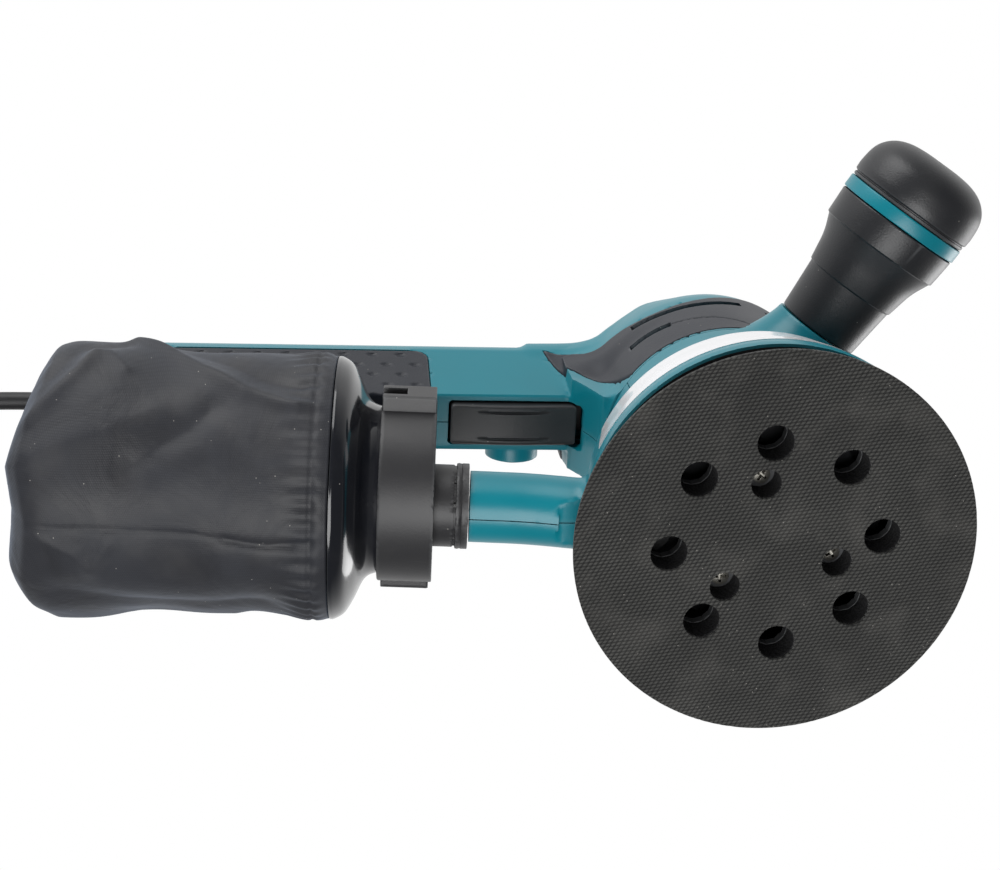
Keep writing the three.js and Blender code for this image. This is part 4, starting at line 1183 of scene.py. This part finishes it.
# Each fold: its line as (distance along the bag, angle in degrees), its height and its half width.
FOLDS = (
    (((62, -76), (54.6, -83), (40.4, -103), (26.1, -116), (10.3, -125)), 1.9, 3.2),
    (((50, -72), (36, -92), (22, -106), (10, -112)), -1.6, 5),
    (((89.5, -134), (81.8, -122), (75.7, -111), (72.5, -99)), 1.8, 3),
    (((84, -112), (76, -92), (66, -84)), -1.4, 4.5),
    (((67.8, -99), (62, -109)), 0.9, 2.4),
    (((56.7, -152), (50.6, -145), (41.3, -136), (35.4, -125)), -1.8, 5.5),
    (((88, -150), (66, -140), (52, -128)), 0.8, 5),
    (((86.9, -179), (49.8, -180), (38.7, -181), (26.9, -183.4), (17.1, -185.4), (4.6, -182.2)), -0.5, 0.8),
    (((30, -183), (20, -184.6), (11, -185)), -1.1, 1.8),
    (((85.7, -182), (79.3, -187), (74.3, -191), (70.1, -200), (64.3, -186)), 0.8, 2.5),
    (((80, -215), (50, -232), (20, -228)), -1.5, 7),
    (((84, -250), (60, -262), (30, -255)), 1.4, 5),
    (((70, -290), (40, -310), (12, -300)), -1.8, 6),
    (((80, -330), (50, -345), (16, -335)), 1.6, 5),
)


def unrolled(s, degrees):
    """A place on the bag's wall in millimetres, with the angle counted back from zero to one whole turn."""
    return np.stack(np.broadcast_arrays(s, np.mod(degrees, -360) * 0.73), -1)


def dust_bag():
    """The cloth bag: rings of points along its axis, each a circle moved in and out by the folds.

    A fold adds its height times a bell curve of the distance to its line.
    Its crest is sharp and its foot soft.
    """
    around, along = 320, 200
    a = np.arange(around)[None] * TAU / around
    degrees = np.degrees(a)
    reach = smooth_line([(41, 0), (41.9, 5), (41.2, 22), (41.4, 45), (42.4, 66), (42.6, 80), (41.6, 86),
                         (39.2, 89.6),
                         (31, 94), (16, 96.6), (0, 97.4)], 10)
    steps = np.concatenate([[0], np.cumsum(np.hypot(*np.diff(reach, axis=0).T))])
    run = np.linspace(0, steps[-1], along)[:, None]
    r, s = np.interp(run, steps, reach[:, 0]), np.interp(run, steps, reach[:, 1])
    bearings, ends = np.array(BAG_END).T
    end = np.interp(degrees, *zip(*sorted(zip(np.mod(bearings, 360), ends))), period=360)
    s = s * (1 + (end / 87 - 1) * np.clip(s / 80, 0, 1) * np.clip(r / 36, 0, 1)**2)
    wall = np.clip((r - 20) / 18, 0, 1) * np.clip(s / 4, 0, 1)
    places = unrolled(s, degrees).reshape(-1, 2)
    folds = 0
    for line, height, width in FOLDS:
        points = np.array(line, float)
        away = segment_distance(unrolled(points[:, 0], points[:, 1]), places, False).reshape(along, around)
        folds = folds + height * np.exp(-(away / width)**1.6)
    bearing = np.mod(degrees, 360)
    flat = -2.2 * np.exp(-((bearing - 125) / 34)**2) * np.clip(s / 25, 0, 1) * np.clip((84 - s) / 20, 0, 1)
    bulge = 1.6 * np.exp(-((bearing - 262) / 32)**2) * np.exp(-((s - 70) / 16)**2)
    waves = 0.35 * np.sin(0.21 * s + 3 * a) + 0.3 * np.sin(0.13 * s - 5 * a + 1)
    gathers = 0.45 * np.cos(44 * a + 0.7 * np.sin(5 * a)) * np.exp(-((s - 7) / 5)**2)
    hem = -0.45 * np.exp(-((s - 5) / 0.7)**2)
    r = r + wall * (folds + flat + bulge + waves + gathers + hem)
    points = np.stack([BAG_UP + r * np.cos(a), r * np.sin(a), 42.4 + s], -1)
    mouth = np.broadcast_to([BAG_UP, 0, 42.4], (1, around, 3))
    rows = np.concatenate([mouth, points])
    surface = to_dust(rows.reshape(-1, 3)), grid_faces(along + 1, around)
    return piece("cloth_bag", surface, MATERIALS["bag_cloth"], "dust_bag",
                 replaces=("dust_bag",),
                 crease=180)


housing()
rubber_parts()
label()
screws()
trigger()
lock_button()
dial()
side_grip()
sanding_pad()
dust_nozzle()
bag_frame()
dust_bag()

CAD_FINISH = {
    "pad_plate": "black_plastic", "pad_hub": "cast_aluminium", "pad_bearing": "bright_steel",
    "pad_brake_ring": "soft_rubber", "eccentric_fan": "cast_aluminium", "armature_shaft": "bright_steel",
    "armature_core": "copper_windings", "commutator": "brass", "bearing_lower": "bright_steel",
    "bearing_upper": "bright_steel", "fan_baffle": "black_plastic", "field_core": "dark_steel",
    "brush_holder_1": "brass", "brush_holder_2": "brass", "carbon_brush_1": "carbon",
    "carbon_brush_2": "carbon",
    "trigger_pin": "bright_steel", "switch_unit": "black_plastic", "speed_board": "circuit_board",
    "dial_pin": "bright_steel", "cord_clamp": "black_plastic", "collar_screw_1": "dark_steel",
    "collar_screw_2": "dark_steel", "knob_stud": "bright_steel", "plug_pin_1": "brass",
    "plug_pin_2": "brass",
}
for node_name, finish in CAD_FINISH.items():
    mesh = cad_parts[node_name].data
    mesh.materials.clear()
    mesh.materials.append(MATERIALS[finish])


# ---- Camera, floor and light ----
def camera():
    """Below and behind the right side, looking up at the pad's face. Its three directions are kept square."""
    right = Vector((0.9946, -0.0446, -0.094)).normalized()
    down = Vector((0.01, 0.941, -0.34))
    down = (down - right * down.dot(right)).normalized()
    forward = right.cross(down)
    data = bpy.data.cameras.new("camera")
    data.lens = 73.7
    data.clip_start, data.clip_end = 0.01, 20
    thing = bpy.data.objects.new("camera", data)
    bpy.context.scene.collection.objects.link(thing)
    turn = thing.matrix_world.copy()
    for row in range(3):
        for column, axis in enumerate((right, -down, -forward)):
            turn[row][column] = axis[row]
        turn[row][3] = (-0.1478, -0.2343, -0.5555)[row]
    thing.matrix_world = turn
    bpy.context.scene.camera = thing


def floor():
    """A pale floor in the pad's plane, seen and lit from above only, so that it hides nothing from below."""
    size = 12
    mesh = bpy.data.meshes.new("floor")
    corners = ((-size, -size), (size, -size), (size, size), (-size, size))
    mesh.from_pydata([(x, y, -0.0005) for x, y in corners], [], [(0, 1, 2, 3)])
    thing = bpy.data.objects.new("floor", mesh)
    bpy.context.scene.collection.objects.link(thing)
    made, tree, surface, place = blank_material("pale_floor", Roughness=0.8)
    drift = node(tree, "TexNoise", {"Vector": place["Object"], "Scale": 3.0, "Detail": 3.0})
    tone = blended(tree, drift.outputs[0], srgb(232, 233, 234), srgb(240, 240, 241))
    tree.links.new(tone, surface.inputs["Base Color"])
    clear = node(tree, "BsdfTransparent")
    mix = node(tree, "MixShader",
               {0: node(tree, "NewGeometry").outputs["Backfacing"], 1: surface.outputs[0],
                2: clear.outputs[0]})
    output = next(n for n in tree.nodes if n.type == "OUTPUT_MATERIAL")
    tree.links.new(mix.outputs[0], output.inputs["Surface"])
    mesh.materials.append(made)
    thing.visible_shadow = False
    thing.visible_diffuse = False
    thing.visible_glossy = False


def lamp(name, place, target, size, power):
    data = bpy.data.lights.new(name, "AREA")
    data.size, data.energy = size, power
    thing = bpy.data.objects.new(name, data)
    bpy.context.scene.collection.objects.link(thing)
    thing.location = place
    thing.rotation_euler = (Vector(target) - Vector(place)).to_track_quat("-Z", "Y").to_euler()


def surroundings():
    """White to the camera. As light, bright from above, where the backdrop is, and dim from below."""
    world = bpy.data.worlds.new("studio")
    bpy.context.scene.world = world
    world.use_nodes = True
    tree = world.node_tree
    back = tree.nodes["Background"]
    seen = node(tree, "LightPath").outputs["Is Camera Ray"]
    height = node(tree, "SeparateXYZ", {0: node(tree, "TexCoord").outputs["Generated"]}).outputs[2]
    glow = remap(tree, height, -0.25, 0.5, 0.12, 0.9)
    tree.links.new(calc(tree, "MAXIMUM", glow, seen), back.inputs["Strength"])
    back.inputs["Color"].default_value = (1, 1, 1, 1)


camera()
floor()
lamp("key", (-0.5, -1.0, 0.1), (-0.05, 0, 0.08), 0.8, 7)
lamp("front", (-0.25, 0.1, -0.9), (-0.05, 0, 0.03), 0.7, 8)
lamp("rim", (0.9, 0.5, 0.5), (0, 0, 0.08), 0.6, 4)
surroundings()
bpy.context.scene.view_settings.view_transform = "Standard"
